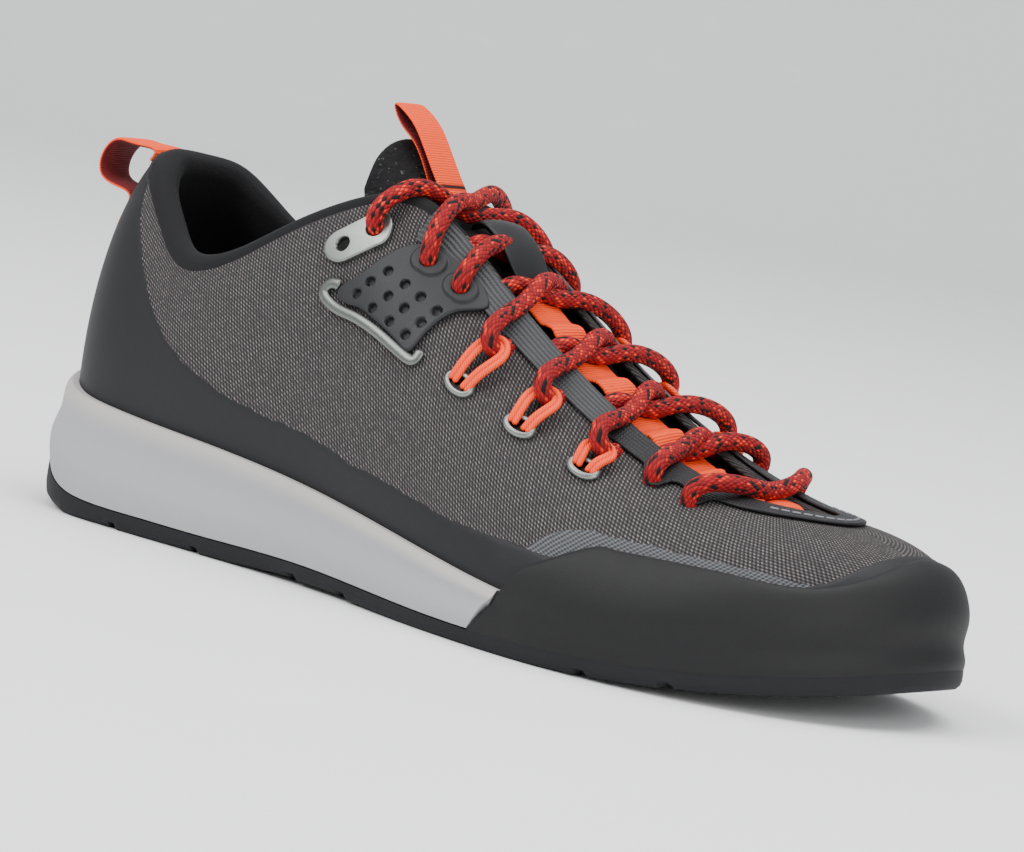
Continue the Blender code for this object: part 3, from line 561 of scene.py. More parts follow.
def rib(theta, share):
    """Outer surface of the upper on a grid: a Bezier arc from the feather line to the topline.

    The angles are one per row and the shares one per column, or one per point of the grid.
    """
    theta = np.ravel(theta)
    share = np.atleast_2d(share)
    share = np.broadcast_to(share, (len(theta), share.shape[-1]))[..., None]
    x = station(theta)
    foot = ring(theta, -column(RIBS, INSET, x), profile(FEATHER))
    knots, values = sided(TOPLINE, (1, 2, 3), (4, 5, 6))
    top = spline(knots, values, theta, TURN)
    out = np.column_stack([plan_normal(theta), np.zeros_like(theta)])
    up = np.array([0, 0, 1.0])
    rise, bulge, reach, drop = (column(RIBS, k, x)[:, None] for k in (RISE, BULGE, REACH, DROP))
    first = foot + rise * up + bulge * out
    second = top + reach * out - drop * up
    foot, first, second, top = (p[:, None, :] for p in (foot, first, second, top))
    rest = 1 - share
    return foot * rest**3 + 3 * first * share * rest**2 + 3 * second * share**2 * rest + top * share**3


def rib_normal(theta, share):
    """Direction square to the upper, pointing out of the shoe."""
    nudge = 1e-3
    along = rib(theta + nudge, share) - rib(theta - nudge, share)
    rise = rib(theta, share + nudge) - rib(theta, share - nudge)
    out = np.cross(along, rise)
    return out / np.linalg.norm(out, axis=-1, keepdims=True)


def skin(theta, share, lift):
    """Grid of points at a distance outside the upper."""
    share = np.asarray(share, float)
    return rib(theta, share) + rib_normal(theta, share) * (lift * np.ones(share.shape[-1]))[..., None]


def spots(places, side, lift):
    """Points over given places of the upper; a place is a foot station and a share."""
    places = np.atleast_2d(np.asarray(places, float))
    lift = lift * np.ones(len(places))
    return skin(angle(places[:, 0], side), places[:, 1:2], lift[:, None])[:, 0]


def leaned(theta, height):
    """Angles moved along the slanted joint for a line of the sole given by its height."""
    x = station(theta)
    back = smooth((x - JOINT + JOINT_BLEND_BACK) / JOINT_BLEND_BACK)
    front = 1 - smooth((x - JOINT - 1) / JOINT_BLEND_FRONT)
    moved = x
    for _ in range(6):
        moved = x + JOINT_SLOPE * back * front * (height(moved) - JOINT_FOOT)
    return np.where(theta <= math.pi, angle(moved), TURN - angle(moved))


def through(points, count, closed=False):
    """Evenly spread points on a smooth line through a few points."""
    points = np.asarray(points, float)
    if closed:
        gaps = np.linalg.norm(np.roll(points, -1, 0) - points, axis=1)
        run = np.concatenate([[0], np.cumsum(gaps)])
        return spline(run[:-1], points, np.linspace(0, run[-1], count), run[-1])
    run = np.concatenate([[0], np.cumsum(np.linalg.norm(np.diff(points, axis=0), axis=1))])
    return spline(run, points, np.linspace(0, run[-1], count))


def unit(vectors):
    """Vectors of length one."""
    return vectors / np.maximum(np.linalg.norm(vectors, axis=-1, keepdims=True), 1e-9)


def running(points):
    """Length along a line of points, in millimetres."""
    steps = np.linalg.norm(np.diff(points, axis=0), axis=-1)
    return np.concatenate([np.zeros((1,) + steps.shape[1:]), np.cumsum(steps, axis=0)])


def crosswise(points):
    """Length across a grid of points, in millimetres."""
    return np.swapaxes(running(np.swapaxes(points, 0, 1)), 0, 1)


def stacked(*parts):
    """Arrays of matching shapes as the last axis of one."""
    return np.stack(np.broadcast_arrays(*parts), -1)


def filled(edge, middle, count):
    """Grid of points from an edge to its middle."""
    share = np.linspace(0, 1, count)[None, :, None]
    return edge[:, None] * (1 - share) + middle * share


def ended(rows):
    """Rows with the first and the last one given twice."""
    return np.concatenate([rows[:1], rows, rows[-1:]])


class Wire:
    """An output socket of a shader tree; arithmetic on it adds Math nodes."""

    def __init__(self, paint, socket):
        self.paint = paint
        self.socket = socket

    def math(self, operation, *inputs):
        return self.paint.node("ShaderNodeMath", {"operation": operation}, *inputs)

    def __add__(self, other):
        return self.math("ADD", self, other)

    def __sub__(self, other):
        return self.math("SUBTRACT", self, other)

    def __rsub__(self, other):
        return self.math("SUBTRACT", other, self)

    def __mul__(self, other):
        return self.math("MULTIPLY", self, other)

    def __truediv__(self, other):
        return self.math("DIVIDE", self, other)

    __radd__ = __add__
    __rmul__ = __mul__

    def sine(self):
        return self.math("SINE", self)

    def floor(self):
        return self.math("FLOOR", self)

    def fraction(self):
        return self.math("FRACT", self)

    def below(self, limit):
        return self.math("LESS_THAN", self, limit)

    def ramp(self, low, high):
        """Soft step from 0 at the low value to 1 at the high one."""
        settings = {"interpolation_type": "SMOOTHSTEP"}
        return self.paint.node("ShaderNodeMapRange", settings, self, low, high, 0.0, 1.0)


class Paint:
    """A material being mixed: its nodes and its Principled shader."""

    def __init__(self, name):
        self.material = bpy.data.materials.new(name)
        self.material.use_nodes = True
        self.tree = self.material.node_tree
        self.shader = self.tree.nodes["Principled BSDF"]

    def node(self, kind, settings=None, *inputs, output=0, **named):
        """Any node, from its type, its settings and the values or wires of its sockets."""
        made = self.tree.nodes.new(kind)
        for key, value in (settings or {}).items():
            setattr(made, key, value)
        for key, value in [*enumerate(inputs), *named.items()]:
            self.feed(made.inputs[key], value)
        return Wire(self, made.outputs[output])

    def feed(self, socket, value):
        if isinstance(value, Wire):
            self.tree.links.new(value.socket, socket)
        elif socket.type == "RGBA":
            socket.default_value = (*value[:3], 1.0)
        else:
            socket.default_value = value

    def place(self):
        return self.node("ShaderNodeTexCoord", output="Object")

    def field(self, name):
        return self.node("ShaderNodeAttribute", {"attribute_name": name}, output="Fac")

    def weave(self):
        """Lengths along and across the piece, in millimetres."""
        uv = self.node("ShaderNodeUVMap", {"uv_map": "weave"})
        return [self.node("ShaderNodeSeparateXYZ", None, uv, output=k) for k in (0, 1)]

    def number(self, x, y):
        """A random number from 0 to 1 for each pair of whole numbers."""
        cell = self.node("ShaderNodeCombineXYZ", None, x.floor(), y.floor())
        return self.node("ShaderNodeTexWhiteNoise", None, cell)

    def noise(self, size, detail=3.0):
        """Cloudy noise from 0 to 1 on Object coordinates; the size of its lumps is in metres."""
        values = {"Scale": 1.0 / size, "Detail": detail, "Roughness": NOISE_ROUGHNESS}
        return self.node("ShaderNodeTexNoise", None, Vector=self.place(), **values)

    def mix(self, share, first, second):
        made = self.tree.nodes.new("ShaderNodeMix")
        made.data_type = "RGBA"
        for key, value in ((0, share), (6, first), (7, second)):
            self.feed(made.inputs[key], value)
        return Wire(self, made.outputs[2])

    def relief(self, height):
        """Fine relief from a height in millimetres."""
        return self.node("ShaderNodeBump", None, Strength=1.0, Distance=MM, Height=height)

    def finish(self, colour, roughness, height, gloss=0.5, metallic=0.0):
        """Feed the shader; numbers are set straight on their sockets, the height becomes relief."""
        values = {
            "Base Color": colour, "Roughness": roughness, "Normal": self.relief(height),
            "Specular IOR Level": gloss, "Metallic": metallic,
        }
        for key, value in values.items():
            self.feed(self.shader.inputs[key], value)
        return self.material


def tone(colour):
    """Linear colour of a shade given in display values from 0 to 255."""
    shade = np.array(colour, float) / 255
    return tuple(np.where(shade <= 0.04045, shade / 12.92, ((shade + 0.055) / 1.055) ** 2.4))


def shaded(colour, factor, lift=0.0):
    """A colour made darker or lighter."""
    return tuple(min(1.0, c * factor + lift) for c in colour)


def dyed(paint, colour, amount, size):
    """A colour that drifts lighter and darker over the piece."""
    return paint.mix(paint.noise(size, 2.0), shaded(colour, 1 - amount), shaded(colour, 1 + amount))


def knit_look(colours):
    """Knit with slanted light stitches in rows, smooth film low down and behind, and a ribbed band.

    A stitch pattern is half a cosine across the rows plus half a cosine along them, so that light
    stitches stand where both are high; the dark gaps where both are low are painted shade in the pits.
    """
    paint = Paint("upper_knit_weave")
    u, v = paint.weave()
    film = paint.field("film")
    band = paint.field("band")
    lining = paint.field("lining")
    binding = paint.field("binding")
    wander = paint.noise(0.006, 2.0) - 0.5
    turn = math.radians(KNIT_SLANT)
    rows = u * math.sin(turn) + v * math.cos(turn) + wander * 0.35
    along = u * math.cos(turn) - v * math.sin(turn) + wander * 0.5
    across = (rows * (TURN / KNIT_ROW)).sine()
    stitch = (along * (TURN / KNIT_STITCH) + rows * (KNIT_SHIFT / KNIT_ROW)).sine()
    weave = (across + stitch) * 0.5
    fleck = paint.number(rows / KNIT_ROW, along / KNIT_STITCH)
    light = weave.ramp(0.1, 0.8) * (0.3 + 0.6 * fleck)
    # painted shade: the pits between stitches, where the weave is lowest, are darkened almost to black
    gap = (0.0 - weave).ramp(0.35, 0.85)
    ground = dyed(paint, colours["knit"], 0.14, 0.012)
    knit = paint.mix(light, ground, colours["stitch"])
    knit = paint.mix(gap * 0.85, knit, colours["gap"])
    ribs = ((u * 0.85 - v * 0.9) * (TURN / 1.5) + wander * 3.0).sine()
    ribs_fine = ((u * 0.6 + v * 1.1) * (TURN / 1.1)).sine()
    # painted shade: the band is darkened in its rib grooves and keeps its grey on the crests
    ribbed = paint.mix((ribs * 0.6 + ribs_fine * 0.4) * 0.5 + 0.5, colours["band_groove_shade"], colours["band"])
    fine = paint.noise(0.0006, 2.0)
    smooth_film = dyed(paint, colours["film"], 0.06, 0.02)
    plush = paint.noise(0.0009, 3.0)
    inside = paint.mix(plush, shaded(colours["lining"], 0.55), colours["lining"])
    edge = (wander * 1.6 + film).ramp(-0.12, 0.12)
    strip = (wander * 1.2 + band).ramp(-0.15, 0.15)
    bound = binding.ramp(-0.08, 0.08)
    colour = paint.mix(strip, knit, ribbed)
    colour = paint.mix(edge, colour, smooth_film)
    colour = paint.mix(bound, colour, shaded(colours["lining"], 1.15))
    colour = paint.mix(lining, colour, inside)
    cloth = (1.0 - edge) * (1.0 - bound) * (1.0 - lining)
    height = cloth * (1.0 - strip) * (weave * 0.21 + 0.21)
    height = height + cloth * strip * (ribs * 0.1 + ribs_fine * 0.06 + 0.16)
    height = height + (edge + bound) * fine * 0.05 + lining * plush * 0.3
    rough = 0.92 - 0.34 * edge - 0.2 * strip * (1.0 - edge) + 0.2 * lining
    return paint.finish(colour, rough, height, 0.35)


def film_look(name, colour, grain, rough, size=0.0007, drift=0.08, gloss=0.3, metallic=0.0, holes=False):
    """Moulded plastic, rubber, foam or metal: a drifting shade, fine grain and a few rubbed places."""
    paint = Paint(name)
    fine = paint.noise(size, 3.0)
    cloud = paint.noise(0.018, 3.0)
    rubbed = paint.noise(0.045, 4.0).ramp(0.55, 0.75)
    shade = dyed(paint, colour, drift, 0.02)
    shade = paint.mix(rubbed * 0.25, shade, shaded(colour, 1.35, 0.01))
    roughness = rough + (cloud - 0.5) * 0.12 + (fine - 0.5) * 0.1
    # painted shade: near the holes of plates and grommets the colour turns almost black
    if holes:
        shade = paint.mix(paint.field("hole").ramp(0.1, -0.15), shade, HOLE_SHADE)
    return paint.finish(shade, roughness, fine * grain, gloss, metallic)


def foam_look(colours):
    """Moulded foam: faint skin pebbling and a painted highlight, lighter and warmer, on the wall's top and
    rim.
    """
    paint = Paint("midsole_foam_skin")
    rim = paint.field("rim")
    pebble = paint.noise(0.0011, 3.0)
    cloud = paint.noise(0.02, 3.0)
    shade = dyed(paint, colours["foam"], 0.04, 0.03)
    # painted highlight: the top of the foam wall and its rim are made lighter and warmer
    shade = paint.mix(rim.ramp(0.0, 1.0) * 0.7, shade, colours["foam_top_highlight"])
    shade = paint.mix(paint.field("bed"), shade, colours["rand"])
    shade = paint.mix(pebble.ramp(0.62, 0.8) * 0.10, shade, shaded(colours["foam"], 0.6))
    return paint.finish(shade, 0.66 + (cloud - 0.5) * 0.15, pebble * 0.09 + cloud * 0.25)


def lace_look(colours):
    """Round braid: two families of strands wind round the cord, and each crossing has its own dye.

    A crossing is told by the whole parts of two slanted coordinates, its height by their fractions;
    its low border, between the strands, gets painted shade.
    """
    paint = Paint("lace_braid")
    u, v = paint.weave()
    first = u / BRAID_PITCH + v / BRAID_WIDTH
    second = u / BRAID_PITCH - v / BRAID_WIDTH
    dye = paint.number(first, second)
    mound = (first.fraction() * math.pi).sine() * (second.fraction() * math.pi).sine()
    over = (first.floor() + second.floor()) * 0.5
    upper_strand = over.fraction().ramp(0.2, 0.3)
    shade = paint.mix(dye, colours["lace_dark"], colours["lace"])
    shade = paint.mix(dye.ramp(0.74, 0.84) * mound, shade, colours["lace_light"])
    shade = paint.mix(dye.below(LACE_BLACK), shade, colours["lace_black"])
    # painted shade: the low border of each crossing, between the strands, is darkened almost to black
    shade = paint.mix((1.0 - mound.ramp(0.0, 0.4)) * 0.55, shade, shaded(colours["lace_dark"], 0.25))
    return paint.finish(shade, 0.78, mound * 0.3 + upper_strand * 0.08, 0.35)


def cord_look(colours):
    """Thin smooth cord with a fine twist and painted shade in the twist's grooves."""
    paint = Paint("loop_cord_twist")
    u, v = paint.weave()
    twist = ((u * 1.1 + v * 0.9) * TURN).sine()
    # painted shade where the deep field is set; no piece sets it
    shade = paint.mix(paint.field("deep"), colours["cord"], colours["cord_groove_shade"])
    # painted shade in the grooves of the twist
    shade = paint.mix(twist.ramp(0.1, -0.9) * 0.3, shade, colours["cord_groove_shade"])
    return paint.finish(shade, 0.55, twist * 0.05 + 0.05, 0.4)


def webbing_look(colours):
    """Ribbed ribbon: fine ribs across it that waver and a woven edge; painted shade darkens the rib
    grooves and the inner side, and painted highlights lighten the rib crests.
    """
    paint = Paint("webbing_ribs")
    u, v = paint.weave()
    wander = paint.noise(0.002, 2.0) - 0.5
    ribs = ((u + wander * 0.5) * (TURN / WEBBING_RIB)).sine()
    threads = (v * (TURN / 0.45) + ribs * 0.8).sine()
    shade = dyed(paint, colours["webbing"], 0.08, 0.01)
    # painted shade in the rib grooves
    shade = paint.mix((0.0 - ribs).ramp(0.3, 1.0) * 0.45, shade, colours["webbing_groove_shade"])
    # painted highlight on the rib crests
    shade = paint.mix(ribs.ramp(0.5, 1.0) * threads.ramp(0.0, 1.0) * 0.3, shade, colours["webbing_crest_highlight"])
    # painted shade on the underside of the webbing
    shade = paint.mix(paint.field("inner"), shade, colours["webbing_underside_shade"])
    shade = paint.mix(paint.field("stitch"), shade, colours["gap"])
    return paint.finish(shade, 0.75, ribs * 0.09 + threads * 0.03 + 0.12, 0.3)


def tongue_look(colours):
    """Black padded cloth: smooth on the front panel, a speckled loop pile near the upper edge."""
    paint = Paint("tongue_cloth")
    pile = paint.field("pile")
    fine = paint.noise(0.0008, 3.0)
    lumps = paint.noise(0.0022, 2.0)
    speck = paint.noise(0.0012, 2.0).ramp(0.62, 0.72)
    ground = paint.mix(fine, shaded(colours["lining"], 0.6), colours["lining"])
    shade = paint.mix(speck * pile * 0.5, ground, colours["band"])
    return paint.finish(shade, 0.9, (1.0 - pile) * fine * 0.12 + pile * lumps * 0.9, 0.3)


def facing_look(colours):
    """Ribbed film round the throat, grey at the ankle and black towards the toe, with painted shade in the
    rib grooves.
    """
    paint = Paint("facing_film")
    u, v = paint.weave()
    toe = paint.field("toe")
    wander = paint.noise(0.004, 2.0) - 0.5
    ribs = ((v + wander * 0.5) * (TURN / 1.15)).sine()
    ticks = (u * (TURN / 0.9) + ribs).sine()
    # painted shade: both the grey and the black film are darker in the rib grooves
    grey = paint.mix(ribs * 0.5 + 0.5, colours["band_groove_shade"], colours["facing"])
    black = paint.mix(ribs * 0.5 + 0.5, shaded(colours["film"], 0.5), colours["film"])
    shade = paint.mix((toe + wander * 0.3).ramp(0.25, 0.6), grey, black)
    return paint.finish(shade, 0.55, ribs * 0.07 + ticks * 0.03 + 0.2, 0.35)


def grid_faces(rows, columns, first):
    """Quads between neighbouring points of a grid whose numbering starts at a point."""
    corner = first + (np.arange(rows - 1)[:, None] * columns + np.arange(columns - 1)[None]).ravel()
    return np.stack([corner, corner + columns, corner + columns + 1, corner + 1], 1)


def block(points, weave=None, **fields):
    """A grid of points with lengths along and across it, and named values per point."""
    if weave is None:
        weave = stacked(running(points), crosswise(points))
    return points, weave, fields


def linked(name, data, place=Matrix()):
    """New object in the scene."""
    thing = bpy.data.objects.new(name, data)
    thing.matrix_world = place
    bpy.context.scene.collection.objects.link(thing)
    return thing


def build(name, blocks, look, replaced=(), crease=50.0):
    """One closed mesh from grids; equal points are merged, so that seams and poles are closed."""
    names = sorted({key for _, _, fields in blocks for key in fields})
    points, weaves, faces = [], [], []
    values = {key: [] for key in names}
    total = 0
    for grid, weave, fields in blocks:
        rows, columns = grid.shape[:2]
        faces.append(grid_faces(rows, columns, total))
        points.append(grid.reshape(-1, 3))
        weaves.append(np.broadcast_to(weave, (rows, columns, 2)).reshape(-1, 2))
        for key in names:
            values[key].append(np.broadcast_to(fields.get(key, 0.0), (rows, columns)).ravel())
        total += rows * columns
    points = (np.concatenate(points) - (HEEL_ORIGIN, 0, 0)) * MM
    weaves, faces = np.concatenate(weaves), np.concatenate(faces)
    mesh = bpy.data.meshes.new(name)
    mesh.from_pydata(points.tolist(), [], faces.tolist())
    uv = mesh.uv_layers.new(name="weave")
    uv.data.foreach_set("uv", weaves[faces.ravel()].astype(np.float32).ravel())
    for key in names:
        layer = mesh.attributes.new(key, "FLOAT", "POINT")
        layer.data.foreach_set("value", np.concatenate(values[key]).astype(np.float32))
    work = bmesh.new()
    work.from_mesh(mesh)
    bmesh.ops.remove_doubles(work, verts=work.verts, dist=MERGE)
    bmesh.ops.recalc_face_normals(work, faces=work.faces)
    work.to_mesh(mesh)
    work.free()
    mesh.polygons.foreach_set("use_smooth", np.ones(len(mesh.polygons), bool))
    mesh.set_sharp_from_angle(angle=math.radians(crease))
    mesh.materials.append(look)
    piece = linked(name, mesh)
    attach(piece, BODY)
    if replaced:
        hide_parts(*replaced)


def turned(path):
    """Directions along a path and two square to it that turn as little as they can."""
    ahead = unit(np.gradient(path, axis=0))
    side = np.zeros_like(path)
    start = np.cross(ahead[0], (0.0, 0.0, 1.0))
    if np.linalg.norm(start) < 0.1:
        start = np.cross(ahead[0], (0.0, 1.0, 0.0))
    side[0] = unit(start)
    for k in range(1, len(path)):
        bent = side[k - 1] - ahead[k] * (side[k - 1] @ ahead[k])
        side[k] = bent / np.linalg.norm(bent)
    return ahead, side, np.cross(ahead, side)


def tube(path, radius, sides, closed=False, flat=1.0, side=None):
    """Round or oval section carried along a path; open ends are closed by half-round caps."""
    path = np.asarray(path, float)
    scale = np.ones(len(path))
    ahead, across, up = turned(path)
    if side is not None:
        across = unit(side - ahead * (side * ahead).sum(-1, keepdims=True))
        up = np.cross(ahead, across)
    if not closed:
        cap = np.linspace(0.0, math.pi / 2, CAP_STEPS + 1)[:-1]
        swell, reach = np.sin(cap), np.cos(cap)[:, None] * radius * flat
        path = np.concatenate([path[0] - ahead[0] * reach, path, path[-1] + ahead[-1] * reach[::-1]])
        scale = np.concatenate([swell, scale, swell[::-1]])
        across, up = (np.pad(v, ((CAP_STEPS, CAP_STEPS), (0, 0)), "edge") for v in (across, up))
    turn = np.linspace(0, TURN, sides + 1)
    cos, sin = np.cos(turn)[None, :, None], np.sin(turn)[None, :, None]
    offset = across[:, None] * cos + up[:, None] * sin * flat
    points = path[:, None] + offset * (radius * scale)[:, None, None]
    points[:, -1] = points[:, 0]
    if closed:
        points[-1] = points[0]
    return points, stacked(running(path)[:, None], turn[None] * radius), {}


def ribbon_block(path, across, width, thick, **fields):
    """Flat webbing with soft edges along a path; its section is a rounded bar."""
    path = np.asarray(path, float)
    across = unit(np.broadcast_to(across, path.shape))
    out = unit(np.cross(across, unit(np.gradient(path, axis=0))))
    turn = np.linspace(0, TURN, RIBBON_SIDES + 1)
    cos, sin = np.cos(turn), np.sin(turn)
    wide = np.sign(cos) * np.abs(cos) ** 0.35 * width / 2
    high = np.sign(sin) * np.abs(sin) ** 0.6 * thick / 2
    points = path[:, None] + across[:, None] * wide[None, :, None] + out[:, None] * high[None, :, None]
    points[:, -1] = points[:, 0]
    points = ended(points)
    points[[0, -1]] = path[[0, -1], None]
    weave = stacked(running(ended(path))[:, None], wide[None])
    values = {key: ended(value)[:, None] for key, value in fields.items()}
    # the inner field marks the underside, which the webbing's look paints in shade
    return points, weave, {"inner": (sin < -0.2) * 1.0, **values}


def fringed(count, fringe):
    """Shares from 0 to 1, dense in a rounded border of the given share at both ends."""
    border = fringe * (1 - np.cos(np.linspace(0, math.pi / 2, 6)))[:-1]
    return np.concatenate([border, np.linspace(fringe, 1 - fringe, count), (1 - border)[::-1]])


def rounded(distance, radius):
    """Height share of a rounded border: root of one less the square of the distance left."""
    return np.sqrt(1 - (1 - np.clip(distance / radius, 0, 1)) ** 2)


def slab(points, thick, out=(0, 0, 1), weave=None, **fields):
    """Sheet over a grid with rounded borders: its underside is the grid and its top lies outward."""
    normal = unit(np.cross(np.gradient(points, axis=0), np.gradient(points, axis=1)))
    normal = normal * np.sign((normal * out).sum(-1, keepdims=True) + 1e-9)
    along, across = running(points), crosswise(points)
    edge = np.minimum(np.minimum(along, along[-1:] - along), np.minimum(across, across[:, -1:] - across))
    swell = (thick / 2 * rounded(edge, thick / 2))[..., None]
    middle = points + normal * thick / 2
    if weave is None:
        weave = stacked(along, across)
    top = block(middle + normal * swell, weave, **fields)
    # inner marks the underside, which the webbing's look paints in shade
    return [top, block(middle - normal * swell, weave, **{**fields, "inner": 1.0})]


def share_at(theta, height):
    """Share of each rib at which the upper reaches a height."""
    steps = np.linspace(0, 0.6, 61)
    grid = rib(theta, steps)[..., 2]
    height = height * np.ones_like(theta)
    return np.array([np.interp(z, row, steps) for z, row in zip(height, grid)])


def spot(x, share, side, lift):
    """One point over a place of the upper."""
    return spots([(x, share)], side, lift)[0]


def on_rib(theta, share, lift):
    """One point per angle, each at its own share."""
    return skin(theta, np.reshape(share * np.ones_like(theta), (-1, 1)), lift)[:, 0]


def resampled(lines, count):
    """More lines between those of a grid, along a smooth curve through them."""
    run = crosswise(lines).mean(0)
    flat = np.swapaxes(lines, 0, 1).reshape(lines.shape[1], -1)
    fine = spline(run, flat, np.linspace(0, run[-1], count))
    return np.swapaxes(fine.reshape(count, lines.shape[0], 3), 0, 1)


def spine(points):
    """Middle line of a symmetrical ring of points."""
    return (points + points[::-1]) / 2


def lid(edge, **fields):
    """Strip from a symmetrical ring of points to its middle line."""
    return block(np.stack([edge, spine(edge)], 1), **fields)


def around(count, marks=()):
    """Symmetrical angles round the foot, with some stations hit on both sides."""
    marks = angle(np.array(marks, float))
    half = np.linspace(0, math.pi, count)
    keep = np.abs(half[:, None] - marks[None]).min(1, initial=1.0) > 0.003
    half = np.sort(np.concatenate([half[keep], marks]))
    return np.concatenate([half, TURN - half[:-1][::-1]])


def ground_line(x):
    """Height of the outsole's lower edge: two flat spots, and the grooves cut into it."""
    ground = column(PROFILE, GROUND, x)
    for start, end in FLATS:
        ground = np.where((x > start - 0.1) & (x < end + 0.1), 0.0, ground)
    for groove in GROOVES:
        ground = ground + GROOVE_DEPTH * (1 - smooth(np.abs(x - groove), GROOVE_FLOOR, GROOVE_HALF))
    return np.maximum(ground, 0.0)


def chamfer_line(x):
    """Height of the lower edge's chamfer, growing along each lobe and stepping back at its end."""
    chamfer = np.full_like(x, EDGE_CHAMFER)
    for start, end in LOBES:
        grown = EDGE_CHAMFER + LOBE_STEP * ((x - start) / (end - start)) ** 2
        chamfer = np.where((x > start) & (x <= end), grown, chamfer)
    return chamfer


def lug_field(points):
    """Round lugs on a staggered lattice: 1 on a lug and 0 between them."""
    row = np.round(points[..., 0] / LUG_ROW)
    x = points[..., 0] - row * LUG_ROW
    y = points[..., 1] + (row % 2) * LUG_PITCH / 2
    y = y - np.round(y / LUG_PITCH) * LUG_PITCH
    return 1 - smooth(np.hypot(x, y), LUG_RADIUS - 0.6, LUG_RADIUS + 0.3)


def make_outsole(looks):
    """Rubber sole: a wall of rings, an underside with round lugs and a flat top."""
    widths = (-GROOVE_HALF, -GROOVE_FLOOR, GROOVE_FLOOR, GROOVE_HALF)
    theta = around(361, [groove + width for groove in GROOVES for width in widths])
    chamfer = chamfer_line(station(theta))
    ground, top = profile(GROUND), profile(OUTSOLE_TOP)
    side = [
        ring(theta, -2.6, ground_line),
        ring(theta, -0.9 - 0.4 * chamfer, lambda x: ground_line(x) + 0.35 * (chamfer - EDGE_CHAMFER)),
        ring(theta, -0.3, lambda x: ground_line(x) + chamfer),
    ]
    side += [ring(theta, offset, between(ground, top, *height)) for offset, *height in OUTSOLE_WALL]
    under = filled(side[0], spine(side[0])[:, None], 44)
    edge = np.linalg.norm(under - side[0][:, None], axis=-1)
    inside = under[..., 0].clip(0, LENGTH)
    floor = ground_line(inside)
    hollow = LUG_HEIGHT * smooth(edge, 2.0, 3.2) * (1 - lug_field(under))
    under[..., 2] = floor + hollow * (top(inside) - floor > 2 * LUG_HEIGHT)
    blocks = [block(np.stack(side, 1)), block(under), lid(side[-1])]
    build("outsole_skin", blocks, looks["outsole"], ["outsole"])


def make_midsole(looks):
    """Foam wedge behind the slanted joint, and its thin bed in front of it."""
    base = around(321, (JOINT, JOINT + 0.3))
    foam = station(base)[:, None] < JOINT + 0.1
    low, floor, rim = profile(OUTSOLE_TOP, GAP), profile(FEATHER, -GAP), profile(FOAM_TOP)

    def line(height, foam_point, bed_offset, bed_height):
        """One line round the midsole, from its height and place on the foam and on the bed."""
        ahead = leaned(base, bed_height)
        bed = ring(ahead, bed_offset - column(RIBS, INSET, station(ahead)), bed_height)
        return np.where(foam, foam_point(leaned(base, height), height), bed)

    def flush(offset):
        return lambda theta, height: ring(theta, offset, height)

    def beside(lift, drop=0.0):
        def at(theta, height):
            z = height(station(theta))
            points = on_rib(theta, share_at(theta, z), lift)
            points[:, 2] = z - drop
            return points

        return at

    def shoulder(theta, height):
        return 0.35 * ring(theta, 0.9, height) + 0.65 * beside(3.4)(theta, height)

    def sill(theta, height):
        points = on_rib(theta, 0.0, GAP)
        points[:, 2] = height(np.clip(points[:, 0], 0, LENGTH))
        return points

    outside = [
        line(low, flush(-0.3), 0.25, low),
        line(between(low, rim, 0.3), flush(0.7), 0.25, between(low, floor, 0.5)),
        line(between(low, rim, 0.68), shoulder, GAP, floor),
        line(rim, beside(3.0, 0.9), GAP, floor),
        line(rim, beside(2.2), GAP, floor),
    ]
    outside = resampled(np.stack(outside, 1), 30)
    inside = [
        line(rim, beside(GAP), GAP, floor),
        line(between(low, rim, 0.82), beside(GAP), GAP, floor),
        line(floor, sill, -1.0, floor),
        line(floor, flush(-9.0), -5.5, floor),
    ]
    inside = np.stack([outside[:, -1], *inside, spine(inside[-1])], 1)
    # the rim field marks the top of the foam wall, which the foam's look paints lighter as highlight
    light = smooth(np.linspace(0, 1, 30), 0.72, 0.95) * foam
    bed = 1.0 * ~foam
    blocks = [block(outside, rim=light, bed=bed), block(inside, rim=1.0 * foam, bed=bed)]
    blocks.append(lid(outside[:, 0], bed=bed))
    build("midsole_skin", blocks, looks["midsole"], ["midsole"], 40.0)


def make_rand(looks):
    """Rubber round the toe: an outer skin of varying thickness and an inner one close to the upper."""
    start = angle(RAND_START)
    base = np.linspace(start, TURN - start, 361)
    knots, values = sided([(0, 0.2, 0.2)] + list(RAND_TOP), (1,), (2,))
    top = spline(knots, values, base, TURN)[:, 0]
    toe = smooth((station(base) - 262) / 28)

    def moved(share):
        reach = rib(base, np.reshape(share * np.ones_like(base), (-1, 1)))[:, 0, 2]
        return leaned(base, lambda x: reach * np.ones_like(x))

    low = profile(OUTSOLE_TOP, RAND_FOOT_GAP)
    halfway = between(low, profile(FEATHER), 0.5)
    foot, mid = leaned(base, low), leaned(base, halfway)
    out = [ring(foot, -0.1, low), ring(mid, 0.25 - 0.3 * toe, halfway)]
    inn = [ring(foot, -2.75, low), ring(mid, -2.85, halfway)]
    for part, lift in RAND_SECTION:
        turn = moved(part * top)
        thinner = TOE_EXTRA * toe * (1 - part) ** 1.5
        out.append(on_rib(turn, part * top, (lift + thinner)[:, None]))
        inn.append(on_rib(turn, part * top * 0.999, GAP))
    out, inn = resampled(np.stack(out, 1), 30), resampled(np.stack(inn, 1), 30)
    strips = [out, inn] + [np.stack([out[:, k], inn[:, k]], 1) for k in (-1, 0)]
    strips += [np.stack([out[k], inn[k]]) for k in (0, -1)]
    build("rand_skin", [block(strip) for strip in strips], looks["rand"], ["rand"], 40.0)


